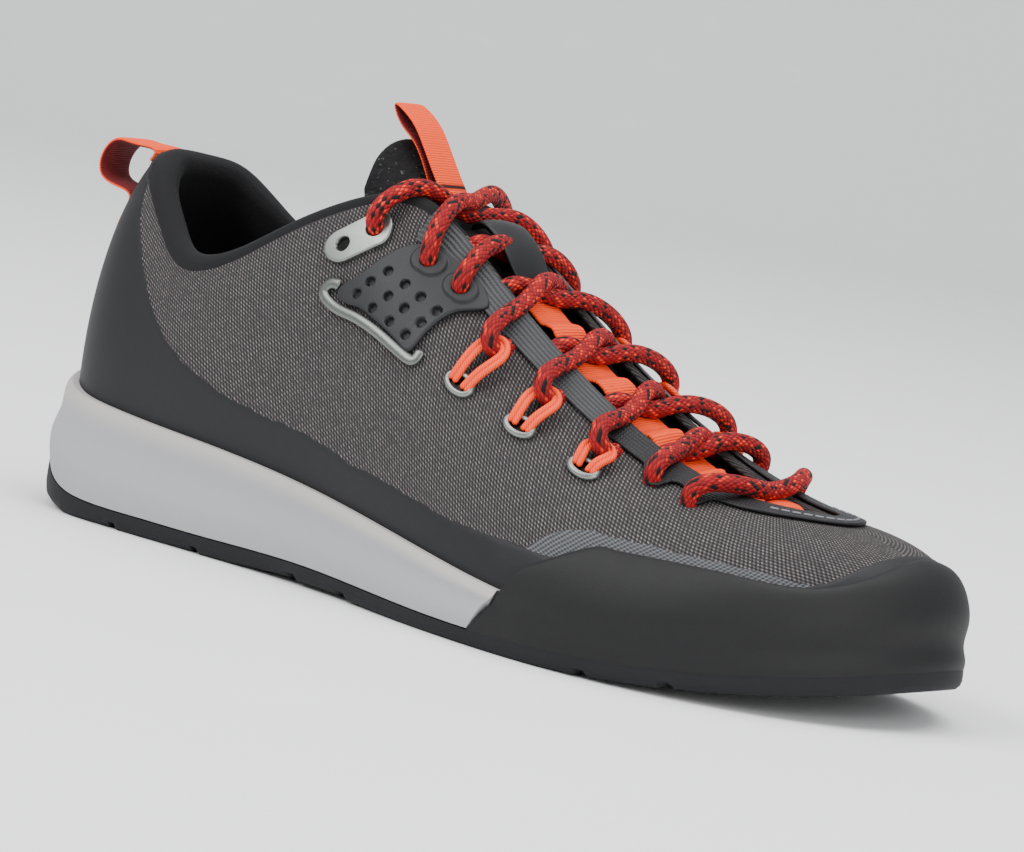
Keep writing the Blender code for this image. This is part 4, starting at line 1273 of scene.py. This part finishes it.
def collar_thickness(theta, share):
    """Wall of the upper, padded towards the collar."""
    pad = column(RIBS, PAD, station(theta))
    return WALL + (np.reshape(pad, (-1, 1)) - WALL) * smooth((share - 0.5) / 0.42)


def lip(theta, turn, lift=0.0):
    """Points round the collar's rounded edge; the turn runs from 0 outside to half a turn inside."""
    edge = rib(theta, 1.0)
    out = rib_normal(theta, np.array([1.0]))
    rise = unit(edge - rib(theta, 0.98))
    radius = (collar_thickness(theta, 1.0) / 2)[..., None]
    cos, sin = np.cos(turn)[None, :, None], np.sin(turn)[None, :, None]
    return edge - out * radius + (radius + lift) * (cos * out + sin * rise)


def soft_folds(points):
    """Shallow troughs and ridges of worn cloth: each is a bell across its line and along it."""
    lift = np.zeros(points.shape[:-1])
    for (x, y, z), direction, length, width, height in FOLDS:
        offset = points - (x, y, z)
        along = unit(np.array(direction, float))
        run = offset @ along
        away = np.sqrt(np.maximum((offset**2).sum(-1) - run**2, 0))
        lift += height * np.exp(-((run / length) ** 2) - (away / width) ** 2)
    return lift


def make_upper(looks):
    """Hollow wall with its rounded collar; named values tell where film, band and binding lie."""
    theta = around(321)
    x = station(theta)[:, None]
    share = np.linspace(0, 1, 76)[None]
    ground = rib(theta, share)
    length = crosswise(ground)[:, -1:]
    film = (edge_line(FILM_EDGE, x) - share) * length
    band = np.where(x < BAND_EDGE[0][0], FAR, (edge_line(BAND_EDGE, x) - share) * length)
    binding = np.where(x < BINDING_END, BINDING - (1 - share) * length, FAR)
    lift = 0.3 * smooth(film, -0.3, 0.3) + soft_folds(ground) + 0.35 * smooth(binding, -0.3, 0.4)
    outside = skin(theta, np.broadcast_to(share, lift.shape), lift)
    turn = np.linspace(0, math.pi, 13)
    rounding = lip(theta, turn)
    rounding[:, 0] = outside[:, -1]
    inner_share = np.linspace(1, 0, 24)
    depth = -collar_thickness(theta, inner_share[None])
    inside = skin(theta, np.broadcast_to(inner_share, depth.shape), depth)
    rounding[:, -1] = inside[:, 0]
    under = np.stack([inside[:, -1], outside[:, 0]], 1)
    girth = running(rib(theta, 0.45)[:, 0])
    girth = np.minimum(girth, girth[-1] - girth)[:, None]
    plain = {"film": FAR, "band": FAR, "binding": FAR, "lining": 1.0}
    bound = {"binding": np.where(x < BINDING_END, 3.0, FAR), "lining": 1.0 * (turn > 1.9)}
    blocks = [
        block(outside, stacked(girth, share * length), film=film, band=band, binding=binding),
        block(rounding, **{**plain, **bound}),
        block(inside, **plain),
        block(under, **plain),
    ]
    build("upper_cloth", blocks, looks["upper"], ["upper"], 60.0)


def make_insole(looks):
    """Loose bed: rings along the foot of the upper, cupped at the heel, and a filled top."""
    theta = around(161)
    inset = column(RIBS, INSET, station(theta)) + WALL + GAP + 0.3

    def bed(rise, cupped):
        return lambda x: column(PROFILE, FEATHER, x) + rise + cupped * smooth((70 - x) / 60)

    lines = [ring(theta, -inset - closer, bed(rise, cupped)) for closer, rise, cupped in INSOLE_EDGE]
    side = resampled(np.stack(lines, 1), 20)
    top = filled(side[:, -1], spine(side[:, -1])[:, None], 12)
    blocks = [block(side), block(top), lid(side[:, 0])]
    build("insole_cover", blocks, looks["insole"], ["insole"])


def wall_point(x, side, share, depth):
    """Point at a depth inside the upper above a station, at a share of the rib."""
    turn = angle(np.linspace(60, LENGTH, 465), side)
    reach = rib(turn, share)[:, 0, 0]
    found = abs(np.interp(x, reach, turn if side == OUTER else -turn))
    return on_rib(np.array([found]), share, -depth)[0]


def throat_share(x):
    """Share of the toe rib at which the vamp ends over a station."""
    steps = np.linspace(0.3, 1, 141)
    return float(np.interp(-x, -rib(math.pi, steps)[0, :, 0], steps))


@functools.lru_cache
def tongue_guides():
    """Five guide points across the tongue at each station, from the toe to the top."""
    rows = []
    for x in TONGUE_AT:
        limit = 1.0 if x < 252 else throat_share(x)
        row = []
        for side, share, depth in TONGUE_GUIDES:
            clear = 1.0 + (depth - 1.0) * smooth((258 - x) / 14)
            wall = collar_thickness(angle(x), share).item()
            point = wall_point(x, side, share * limit, wall + clear)
            row.append(np.array([x, point[1], point[2]]))
        lift = 1.2 * smooth((249 - x) / 14) + 1.0 * smooth((170 - x) / 20)
        rows.append([row[0], row[1], (row[1] + row[2]) / 2 + (0, 0, lift), row[2], row[3]])
    for x, crest, fold, fold_z, rim, rim_z in TONGUE_TOP:
        breadths = TONGUE_CENTRE + np.array([-rim, -fold, 0, fold, rim])
        rows.append(np.column_stack([np.full(5, x), breadths, (rim_z, fold_z, crest, fold_z, rim_z)]))
    return np.array(rows)


def tongue_surface(along, across):
    """Smooth grid through the tongue's guide points, at shares along and across it."""
    guides = tongue_guides()
    run = running(guides[:, 2])
    lines = np.stack([spline(run, guides[:, k], np.asarray(along) * run[-1]) for k in range(5)], 1)
    return np.stack([spline(running(line), line, np.asarray(across) * running(line)[-1]) for line in lines])


def make_tongue(looks):
    """Padded sheet through the guide points, thickened downwards, with a pile near its top."""
    along, across = fringed(120, 0.012), fringed(50, 0.04)
    pile = smooth(along, 0.9, 0.93)[:, None]
    sheet = slab(tongue_surface(along, across), TONGUE_THICK, (0, 0, -1.0), pile=pile)
    build("tongue_pad", sheet, looks["tongue"], ["tongue"], 70.0)


@functools.lru_cache
def crest_line():
    """Middle line of the tongue, ordered by station."""
    middle = tongue_surface(np.linspace(0, 1, 120), np.array([0.5]))[:, 0]
    return middle[np.argsort(middle[:, 0])]


def over_tongue(x, rise):
    """Point over the middle of the tongue at a station."""
    line = crest_line()
    return np.array([x, *(np.interp(x, line[:, 0], line[:, k]) for k in (1, 2))]) + (0, 0, rise)


def lace_hole(row, side):
    """Middle of the lace over its hole."""
    x, share, height = LACE_ROWS[row]
    return on_rib(angle(np.array([x]), side), share, height)[0]


def laced(row, side, way):
    """Points of the lace on its way out of a hole."""
    x, share, _ = LACE_ROWS[row]
    return [spot(x + along, share + up, side, lift) for along, up, lift in way]


def lace_stations():
    """Stations at which the webbing lies down: its ends and the lace crossings."""
    holes = [lace_hole(row, side)[0] for row in range(2, len(LACE_ROWS)) for side in (OUTER, INNER)]
    pairs = [sum(holes[k : k + 4]) / 4 for k in range(0, len(holes) - 2, 2)]
    return np.array([WEBBING_BACK, *pairs, sum(holes[-2:]) / 2, WEBBING_FRONT])


def make_webbing(looks):
    """Webbing along the tongue, bulging between the lace crossings."""
    crossings = lace_stations()
    across = fringed(14, 0.05)
    grid = tongue_surface(np.linspace(0, 1, 420), np.linspace(0, 1, 81))
    grid = grid[(grid[:, 40, 0] > WEBBING_BACK) & (grid[:, 40, 0] < WEBBING_FRONT)]
    rows = []
    for line in grid:
        x, y = line[40, 0], line[40, 1] + WEBBING_WIDTH * (across - 0.5)
        clear = np.abs(crossings - x).min() - ARCH_START
        swell = smooth(x, *WEBBING_BULGE[:2]) * (1 - smooth(x, *WEBBING_BULGE[2:]))
        lift = WEBBING_LIFT + WEBBING_ARCH * smooth(clear / ARCH_LENGTH) + WEBBING_SWELL * swell
        rows.append(stacked(*(np.interp(y, line[:, 1], line[:, k]) for k in range(3))) + (0, 0, lift))
    rows = np.array(rows)
    weave = stacked(running(rows[:, rows.shape[1] // 2])[:, None], (across * WEBBING_WIDTH)[None])
    sheet = slab(rows, WEBBING_THICK, weave=weave)
    build("tongue_webbing_ribs", sheet, looks["webbing"], ["tongue_webbing"])


def make_keeper(looks):
    """Smooth patch that arches over the tongue, narrower at its ends."""
    middle = through([over_tongue(x, rise) for x, rise in KEEPER], 60)
    across = fringed(20, 0.06) * 2 - 1
    half = KEEPER_WIDTH / 2 * (1 - KEEPER_WAIST * np.abs(np.linspace(0, 2, 60) - 1) ** 3)[:, None]
    sheet = slab(middle[:, None] + stacked(0.0, half * across, -KEEPER_CROWN * across**2), KEEPER_THICK)
    build("keeper_patch", sheet, looks["keeper"], ["tongue_keeper"])


def make_pulls(looks):
    """Heel loop, which turns from the heel's side to straight back, and the loop on the tongue."""
    back = on_rib(np.full(len(HEEL_SHARES), HEEL_TURN), np.array(HEEL_SHARES), HEEL_LIFT)
    end = on_rib(np.zeros(len(HEEL_END_SHARES)), np.array(HEEL_END_SHARES), HEEL_END_LIFT)
    heel = through([*back, *HEEL_FREE, *end], 120)
    level = plan(np.array([HEEL_TURN + 0.02])) - plan(np.array([HEEL_TURN - 0.02]))
    share = smooth(np.linspace(0, 1, 120), 0.3, 0.7)[:, None]
    across = unit(np.append(level[0], 0.0)) * (1 - share) + np.array([0, -1.0, 0]) * share
    loop = ribbon_block(heel, unit(across), *HEEL_SIZE)
    build("heel_pull_ribs", [loop], looks["webbing"], ["heel_pull"], 70.0)
    base = over_tongue(PULL_STATION, 0.0)
    free = [(x, TONGUE_CENTRE, z) for x, z in PULL_FREE]
    path = through([*(base + PULL_FRONT), *free, base + PULL_END], 120)
    run = running(path)
    stitch = smooth(run, *PULL_STITCH[:2]) * (1 - smooth(run, *PULL_STITCH[2:]))
    loop = ribbon_block(path, (0, 1.0, 0), *PULL_SIZE, stitch=stitch)
    build("tongue_pull_ribs", [loop], looks["webbing"], ["tongue_pull"], 70.0)


def make_eyestay(looks):
    """Facing round the throat with a tab at each toe hole, and a row of stitches at its front."""
    start = angle(EYESTAY_START)
    theta = np.linspace(start, TURN - start, 361)
    x = station(theta)
    low = EYESTAY_LOW + 0.03 * smooth((x - 235) / 40)
    for tab in TABS:
        low = low - TAB_DEPTH * np.exp(-(((x - tab) / TAB_HALF) ** 4))
    low = low[:, None]
    share = low + (EYESTAY_TOP - low) * fringed(26, 0.04)
    out = rib_normal(theta, share)
    grid = rib(theta, share) + out * EYESTAY_LIFT
    weave = stacked(running(grid[:, 0])[:, None], (1 - share) * EYESTAY_BREADTH)
    sheet = slab(grid, EYESTAY_THICK, out, weave=weave, toe=smooth(x, *EYESTAY_BLACK)[:, None])
    build("eyestay_ribs", sheet, looks["eyestay"], ["eyestay"], 60.0)
    seam = on_rib(np.linspace(SEAM_START, TURN - SEAM_START, 800), SEAM_SHARE, SEAM_LIFT)
    run = running(seam)
    stitches = []
    for first in np.arange(0.0, run[-1] - STITCH_LENGTH, STITCH_STEP):
        at = np.linspace(first, first + STITCH_LENGTH, 7)
        path = stacked(*(np.interp(at, run, seam[:, k]) for k in range(3)))
        stitches.append(tube(path, STITCH_RADIUS, 8))
    build("eyestay_stitches", stitches, looks["thread"])


def metric(place, side):
    """Matrix that turns steps of station and share at a place of the upper to flat millimetres."""
    x, share = place
    du = spot(x + 0.5, share, side, 0.0) - spot(x - 0.5, share, side, 0.0)
    dv = (spot(x, share + 0.01, side, 0.0) - spot(x, share - 0.01, side, 0.0)) / 0.02
    first = unit(du)
    second = unit(dv - first * (dv @ first))
    return np.array([[du @ first, dv @ first], [0.0, dv @ second]])


def pointing(place, toward, matrix):
    """Flat direction from one place to another, and the one square to it."""
    ahead = unit(matrix @ (np.array(toward) - place))
    return ahead, np.array([-ahead[1], ahead[0]])


def oval(place, side, toward, half_long, half_wide):
    """Places of a capsule's outline round a place, its long way pointing to another place."""
    matrix = metric(place, side)
    ahead, beside = pointing(place, toward, matrix)
    turn = np.linspace(0, TURN, OVAL_POINTS + 1)[:-1]
    along = np.cos(turn) * half_wide + np.sign(np.cos(turn)) * (half_long - half_wide)
    across = np.sin(turn) * half_wide
    return place + (along[:, None] * ahead + across[:, None] * beside) @ np.linalg.inv(matrix).T


def plate(outline, side, thick, holes=(), rims=(), rings=46):
    """Plate with a rounded border over an outline of places, with round holes and raised oval rims."""
    outline = np.asarray(outline, float)
    middle = outline.mean(0)
    share = 1 - fringed(rings, 0.03)[: rings + 5]
    share = np.append(share[share > 0.01], 0.0)
    closed = np.concatenate([outline, outline[:1]])
    places = middle + (closed[:, None] - middle) * share[None, :, None]
    reach = np.linalg.norm((closed - middle) @ metric(middle, side).T, axis=1)
    swell = rounded((1 - share)[None] * reach[:, None], thick / 2)
    hole = np.full(swell.shape, SOLID)
    high = thick / 2 * (1 + swell)
    for place, radius in holes:
        flat = (places - place) @ metric(place, side).T
        hole = np.minimum(hole, np.linalg.norm(flat, axis=-1) - radius)
    for place, toward, half_long, half_wide, rise in rims:
        matrix = metric(place, side)
        flat = (places - place) @ matrix.T
        along, across = (flat @ way for way in pointing(place, toward, matrix))
        away = np.hypot(np.maximum(np.abs(along) - (half_long - half_wide), 0), across) - half_wide
        high = high + rise * smooth(away, 0.9, 0.2) * (swell > 0.5)
    high = high - (thick - 0.2) * smooth(hole, 0.25, -0.25) * (swell > 0.9)
    flat = places.reshape(-1, 2)
    top, under = (
        spots(flat, side, PLATE_LIFT + height.ravel()).reshape(*places.shape[:2], 3)
        for height in (high, thick / 2 * (1 - swell))
    )
    # the hole field tells the look where to paint shade inside each hole
    return [block(top, hole=hole), block(under, hole=SOLID)]


def make_plates(looks):
    """On each side the pinholed plate, the eyelet plate and the slot bar."""
    outline = through(LACE_PLATE, 300, closed=True)[:-1]
    rows = [LACE_ROWS[k][:2] for k in (1, 2)]
    holes = [(place, HOLE_RADIUS) for place in PLATE_HOLES] + [(row, LACE_HOLE) for row in rows]
    rims = [(rows[0], rows[1], *LACE_RIM), (rows[1], rows[0], *LACE_RIM)]
    for side, name in SIDES.items():
        blocks = plate(outline, side, PLATE_THICK, holes, rims, 60)
        build("lace_plate_face_" + name, blocks, looks["plate"], ["lace_plate_" + name])
        rim = oval(np.mean(EYELET_HOLES, 0), side, EYELET_HOLES[1], *EYELET_HALVES)
        blocks = plate(rim, side, EYELET_THICK, list(zip(EYELET_HOLES, EYELET_RADII)))
        replaced = ["eyelet_plate_" + name]
        build("eyelet_plate_face_" + name, blocks, looks["metal"], replaced)
        low, high = (spots(SLOT_BAR, side, STRAP_LIFT + lift) for lift in (0.0, 1.0))
        bar = through(low, 160)
        across = np.cross(unit(through(high - low, 160)), unit(np.gradient(bar, axis=0)))
        strap = tube(bar, STRAP_RADIUS, 16, flat=STRAP_FLAT, side=across)
        build("slot_bar_strap_" + name, [strap], looks["metal"], ["slot_bar_" + name])


def make_grommets(looks):
    """Oval rings on the upper, and from each a loop of doubled cord up to the lace."""
    mirrored = tuple((along, -wide, high) for along, wide, high in CORD_LOOP[-2::-1])
    for side, name in SIDES.items():
        for number, place in enumerate(GROMMETS):
            label = "{}_{}".format(name, number + 1)
            centre = spot(*place, side, GROMMET_LIFT)
            out = unit(spot(*place, side, 2.0) - centre)
            hole = lace_hole(LOOP_ROWS[number], side)
            head = hole - centre
            head = unit(head - out * (head @ out))
            cross = np.cross(out, head)
            turn = np.linspace(0, TURN, 65)[:, None]
            oval_line = centre + GROMMET_HIGH * np.cos(turn) * head + GROMMET_WIDE * np.sin(turn) * cross
            wire, weave, _ = tube(oval_line, GROMMET_WIRE, 14, closed=True, flat=GROMMET_FLAT)
            # painted shade: a disc painted black fills each ring where its hole would lie in shade
            disc = filled(oval_line, centre, 4) - out * DISC_DEPTH
            disc = np.concatenate([disc, disc[:, ::-1] - out * DISC_THICK], 1)
            blocks = [block(wire, weave, hole=SOLID), block(disc, hole=-1.0)]
            build("grommet_ring_" + label, blocks, looks["metal"], ["grommet_" + label])
            top = hole - out * (LACE_RADIUS + GAP + CORD_RADIUS) - centre
            reach = np.linalg.norm(top - out * (top @ out))
            legs = []
            for wider in CORD_STRANDS:
                path = []
                for along, wide, high in CORD_LOOP + mirrored:
                    reached = head * (reach * along + wider * (along > 1.05))
                    path.append(centre + reached + cross * (wide + np.sign(wide) * wider) + out * high)
                legs.append(tube(through(path, 70), CORD_RADIUS, 12))
            build("cord_twist_" + label, legs, looks["cord"], ["cord_loop_" + label])


def crossing_strand(start, side, over):
    """Lace from its hole over its own side of the throat and under the far edge.

    At the cord loops it turns back from under the facing; the top pair ends in the ankle holes.
    """
    first, last = lace_hole(start, side), lace_hole(start - 1, -side)
    run = last - first
    near = wall_point(first[0] + EDGE_NEAR * run[0], side, 1.0, 0.0)
    far = wall_point(first[0] + EDGE_FAR * run[0], -side, 1.0, 0.0)

    def at(share, height):
        point = first + share * run
        point[2] = height
        return point

    at_near, at_far = (near[1] - first[1]) / run[1], (far[1] - first[1]) / run[1]
    if over:
        rise = CROSSING_OVER.get(start, CROSSING_OVER_REST)
    else:
        rise = CROSSING_UNDER.get(start, CROSSING_UNDER_REST)
    head = laced(start, side, LOOP_WAY if start in LOOP_ROWS else HOLE_WAY)
    middle = over_tongue((first + 0.5 * run)[0], rise)[2]
    path = [*head, at(at_near, near[2] + EDGE_RISE), at(0.5, middle)]
    if start == 1:
        path.append(at(at_far, far[2] + EDGE_RISE + (ANKLE_OVER if over else ANKLE_UNDER)))
        return through(path + laced(0, -side, ANKLE_WAY)[::-1], 160)
    path.append(at(at_far - DIVE_BEFORE / abs(run[1]), far[2] - (DIVE_OVER if over else DIVE_UNDER)))
    path.append(at(at_far + GONE_BEHIND / abs(run[1]), far[2] - GONE_DEPTH))
    return through(path, 140)


def make_laces(looks):
    """Six crossings of two strands each, from the toe to the ankle, and the bar at the toe."""
    for start in range(6, 0, -1):
        name = str(7 - start)
        blocks = [tube(crossing_strand(start, s, s == OUTER), LACE_RADIUS, LACE_SIDES) for s in SIDES]
        build("lace_span_" + name, blocks, looks["lace"], ["lace_cross_" + name], 80.0)
    row = len(LACE_ROWS) - 1
    x = LACE_ROWS[row][0]
    ends = [
        [*laced(row, side, BAR_WAY), wall_point(x, side, 1.0, 0.0) + (0, 0, BAR_EDGE_RISE)]
        for side in (OUTER, INNER)
    ]
    path = through([*ends[0], over_tongue(x, BAR_RISE), *ends[1][::-1]], 160)
    bar = tube(path, LACE_RADIUS, LACE_SIDES)
    build("lace_span_bar", [bar], looks["lace"], ["lace_bar"], 80.0)


def make_floor(looks):
    """Floor that bends up into a backdrop, square to the camera's turn."""
    bend = np.linspace(0, math.pi / 2, 24)[1:]
    depth = [np.linspace(SWEEP_FRONT, SWEEP_BACK, 24), SWEEP_BACK + SWEEP_BEND * np.sin(bend)]
    height = [np.zeros(24), SWEEP_BEND * (1 - np.cos(bend))]
    depth = np.append(np.concatenate(depth), SWEEP_BACK + SWEEP_BEND)[:, None]
    height = np.append(np.concatenate(height), SWEEP_TOP)[:, None]
    turn = math.radians(CAMERA_ANGLES[0])
    cos, sin = math.cos(turn), math.sin(turn)
    across = np.array([-SWEEP_HALF, SWEEP_HALF])
    grid = stacked(cos * across - sin * depth, sin * across + cos * depth, height)
    mesh = bpy.data.meshes.new("floor_sweep")
    mesh.from_pydata(grid.reshape(-1, 3).tolist(), [], grid_faces(*grid.shape[:2], 0).tolist())
    mesh.polygons.foreach_set("use_smooth", np.ones(len(mesh.polygons), bool))
    mesh.materials.append(looks["floor"])
    return linked("floor_sweep", mesh)


def make_lamps(strength):
    """Square lamps, each turned to its aim."""
    made = []
    for name, place, power, size, target in LIGHTS:
        light = bpy.data.lights.new(name, "AREA")
        light.energy, light.size = power * strength, size
        aim = (Vector(target) - Vector(place)).to_track_quat("-Z", "Y").to_matrix().to_4x4()
        made.append(linked(name, light, Matrix.Translation(place) @ aim))
    return made


def make_sky(strength):
    """Even pale light from all round."""
    world = bpy.data.worlds.new("studio")
    world.use_nodes = True
    sky = world.node_tree.nodes["Background"]
    sky.inputs["Color"].default_value = SKY
    sky.inputs["Strength"].default_value = strength
    bpy.context.scene.world = world


def make_camera():
    """Camera at its turn, height angle and roll, looking at its target."""
    turn, high, roll = (math.radians(value) for value in CAMERA_ANGLES)
    flat = math.cos(high)
    outward = Vector((math.sin(turn) * flat, -math.cos(turn) * flat, math.sin(high)))
    right = Vector((math.cos(turn), math.sin(turn), 0))
    up = outward.cross(right)
    across = right * math.cos(roll) + up * math.sin(roll)
    upward = up * math.cos(roll) - right * math.sin(roll)
    place = Matrix.Translation(Vector(CAMERA_TARGET) + outward * CAMERA_DISTANCE)
    view = bpy.data.cameras.new("photo_view")
    view.sensor_width, view.lens = SENSOR, CAMERA_LENS
    view.clip_start, view.clip_end = 0.05, 20.0
    facing = Matrix((across, upward, outward)).transposed().to_4x4()
    bpy.context.scene.camera = linked("photo_view", view, place @ facing)


def make_stage(looks):
    settings = bpy.context.scene.shoe_stage
    made = [make_floor(looks), *make_lamps(settings.light_power)]
    make_sky(settings.sky)
    make_camera()


def make_looks():
    """Every material of the shoe and its floor."""
    colours = {key: tone(value) for key, value in COLOURS.items()}
    cloth = bpy.context.scene.shoe_cloth
    colours["knit"], colours["stitch"] = tuple(cloth.knit), tuple(cloth.stitch)
    cord = bpy.context.scene.shoe_laces
    colours["lace"], colours["webbing"] = tuple(cord.lace), tuple(cord.webbing)
    stage = bpy.context.scene.shoe_stage
    return {
        "upper": knit_look(colours),
        "outsole": film_look("outsole_rubber_skin", colours["outsole"], 0.07, 0.72),
        "rand": film_look("rand_rubber_skin", colours["rand"], 0.05, 0.62, size=0.0005),
        "midsole": foam_look(colours),
        "insole": film_look("insole_cloth", colours["lining"], 0.12, 0.95),
        "tongue": tongue_look(colours),
        "webbing": webbing_look(colours),
        "keeper": film_look("keeper_patch_film", colours["keeper"], 0.03, 0.42),
        "eyestay": facing_look(colours),
        "thread": film_look("stitch_thread", colours["thread"], 0.05, 0.8),
        "plate": film_look("lace_plate_film", colours["plate"], 0.05, 0.5, holes=True),
        "metal": film_look(
            "satin_metal", colours["metal"], 0.02, 0.36, size=0.0004, gloss=0.5, metallic=0.85, holes=True
        ),
        "cord": cord_look(colours),
        "lace": lace_look(colours),
        "floor": film_look("floor_paint", tuple(stage.floor), 0.0, 0.9, size=0.01, drift=0.005),
    }


LOOKS = {}


class ShoeCloth(bpy.types.PropertyGroup):
    """Colours of the upper's cloth."""

    knit: bpy.props.FloatVectorProperty(
        name="Knit", description="Ground colour of the knit", subtype="COLOR",
        default=tone(COLOURS["knit"]), min=0, max=1,
    )
    stitch: bpy.props.FloatVectorProperty(
        name="Stitches", description="Colour of the light stitches", subtype="COLOR",
        default=tone(COLOURS["stitch"]), min=0, max=1,
    )


class ShoeLaces(bpy.types.PropertyGroup):
    """Colours of the laces and the webbing."""

    lace: bpy.props.FloatVectorProperty(
        name="Lace", description="Main colour of the lace", subtype="COLOR",
        default=tone(COLOURS["lace"]), min=0, max=1,
    )
    webbing: bpy.props.FloatVectorProperty(
        name="Webbing", description="Colour of the webbing", subtype="COLOR",
        default=tone(COLOURS["webbing"]), min=0, max=1,
    )


class ShoeStage(bpy.types.PropertyGroup):
    """Floor, sky and lamps round the shoe."""

    floor: bpy.props.FloatVectorProperty(
        name="Floor", description="Colour of the floor", subtype="COLOR",
        default=(0.9, 0.9, 0.9), min=0, max=1,
    )
    light_power: bpy.props.FloatProperty(
        name="Lamps", description="Strength of the lamps", default=1.0, min=0
    )
    sky: bpy.props.FloatProperty(name="Sky", description="Strength of the pale sky", default=0.75, min=0)


class PieceOperator:
    """Shared ground of the operators: one group of pieces is built, and a failure is raised."""

    makers = ()

    def execute(self, context):
        if not LOOKS:
            LOOKS.update(make_looks())
        for maker in self.makers:
            maker(LOOKS)
        return {"FINISHED"}


class SHOE_OT_sole(PieceOperator, bpy.types.Operator):
    """Build the outsole, the foam wedge, the toe rubber and the insole"""

    bl_idname = "shoe.sole"
    bl_label = "Sole"
    makers = (make_outsole, make_midsole, make_rand, make_insole)


class SHOE_OT_upper(PieceOperator, bpy.types.Operator):
    """Build the hollow upper, the tongue and the facing round the throat"""

    bl_idname = "shoe.upper"
    bl_label = "Upper and tongue"
    makers = (make_upper, make_tongue, make_eyestay)


class SHOE_OT_webbing(PieceOperator, bpy.types.Operator):
    """Build the webbing, its keeper and the two pull loops"""

    bl_idname = "shoe.webbing"
    bl_label = "Webbing and pulls"
    makers = (make_webbing, make_keeper, make_pulls)


class SHOE_OT_hardware(PieceOperator, bpy.types.Operator):
    """Build the plates, bars, grommets and cord loops"""

    bl_idname = "shoe.hardware"
    bl_label = "Plates and loops"
    makers = (make_plates, make_grommets)


class SHOE_OT_laces(PieceOperator, bpy.types.Operator):
    """Build the visible spans of the lace"""

    bl_idname = "shoe.laces"
    bl_label = "Laces"
    makers = (make_laces,)


class SHOE_OT_stage(PieceOperator, bpy.types.Operator):
    """Build the floor, the lamps and the camera"""

    bl_idname = "shoe.stage"
    bl_label = "Floor and lamps"
    makers = (make_stage,)


OPERATORS = (
    SHOE_OT_sole, SHOE_OT_upper, SHOE_OT_webbing, SHOE_OT_hardware, SHOE_OT_laces, SHOE_OT_stage,
)


class SHOE_PT_panel(bpy.types.Panel):
    """Sidebar panel with the colours and the steps that build the shoe"""

    bl_label = "Approach shoe"
    bl_idname = "SHOE_PT_panel"
    bl_space_type = "VIEW_3D"
    bl_region_type = "UI"
    bl_category = "Shoe"

    def draw(self, context):
        for group in ("shoe_cloth", "shoe_laces", "shoe_stage"):
            values = getattr(context.scene, group)
            for key in values.__annotations__:
                self.layout.prop(values, key)
        for operator in OPERATORS:
            self.layout.operator(operator.bl_idname)


GROUPS = {"shoe_cloth": ShoeCloth, "shoe_laces": ShoeLaces, "shoe_stage": ShoeStage}


def register():
    for item in (*GROUPS.values(), *OPERATORS, SHOE_PT_panel):
        bpy.utils.register_class(item)
    for name, group in GROUPS.items():
        setattr(bpy.types.Scene, name, bpy.props.PointerProperty(type=group))


def unregister():
    for name in GROUPS:
        delattr(bpy.types.Scene, name)
    for item in (SHOE_PT_panel, *OPERATORS, *GROUPS.values()):
        bpy.utils.unregister_class(item)


def main():
    register()
    shoe = bpy.ops.shoe
    for step in (shoe.sole, shoe.upper, shoe.webbing, shoe.hardware, shoe.laces, shoe.stage):
        step()


if __name__ == "__main__":
    main()
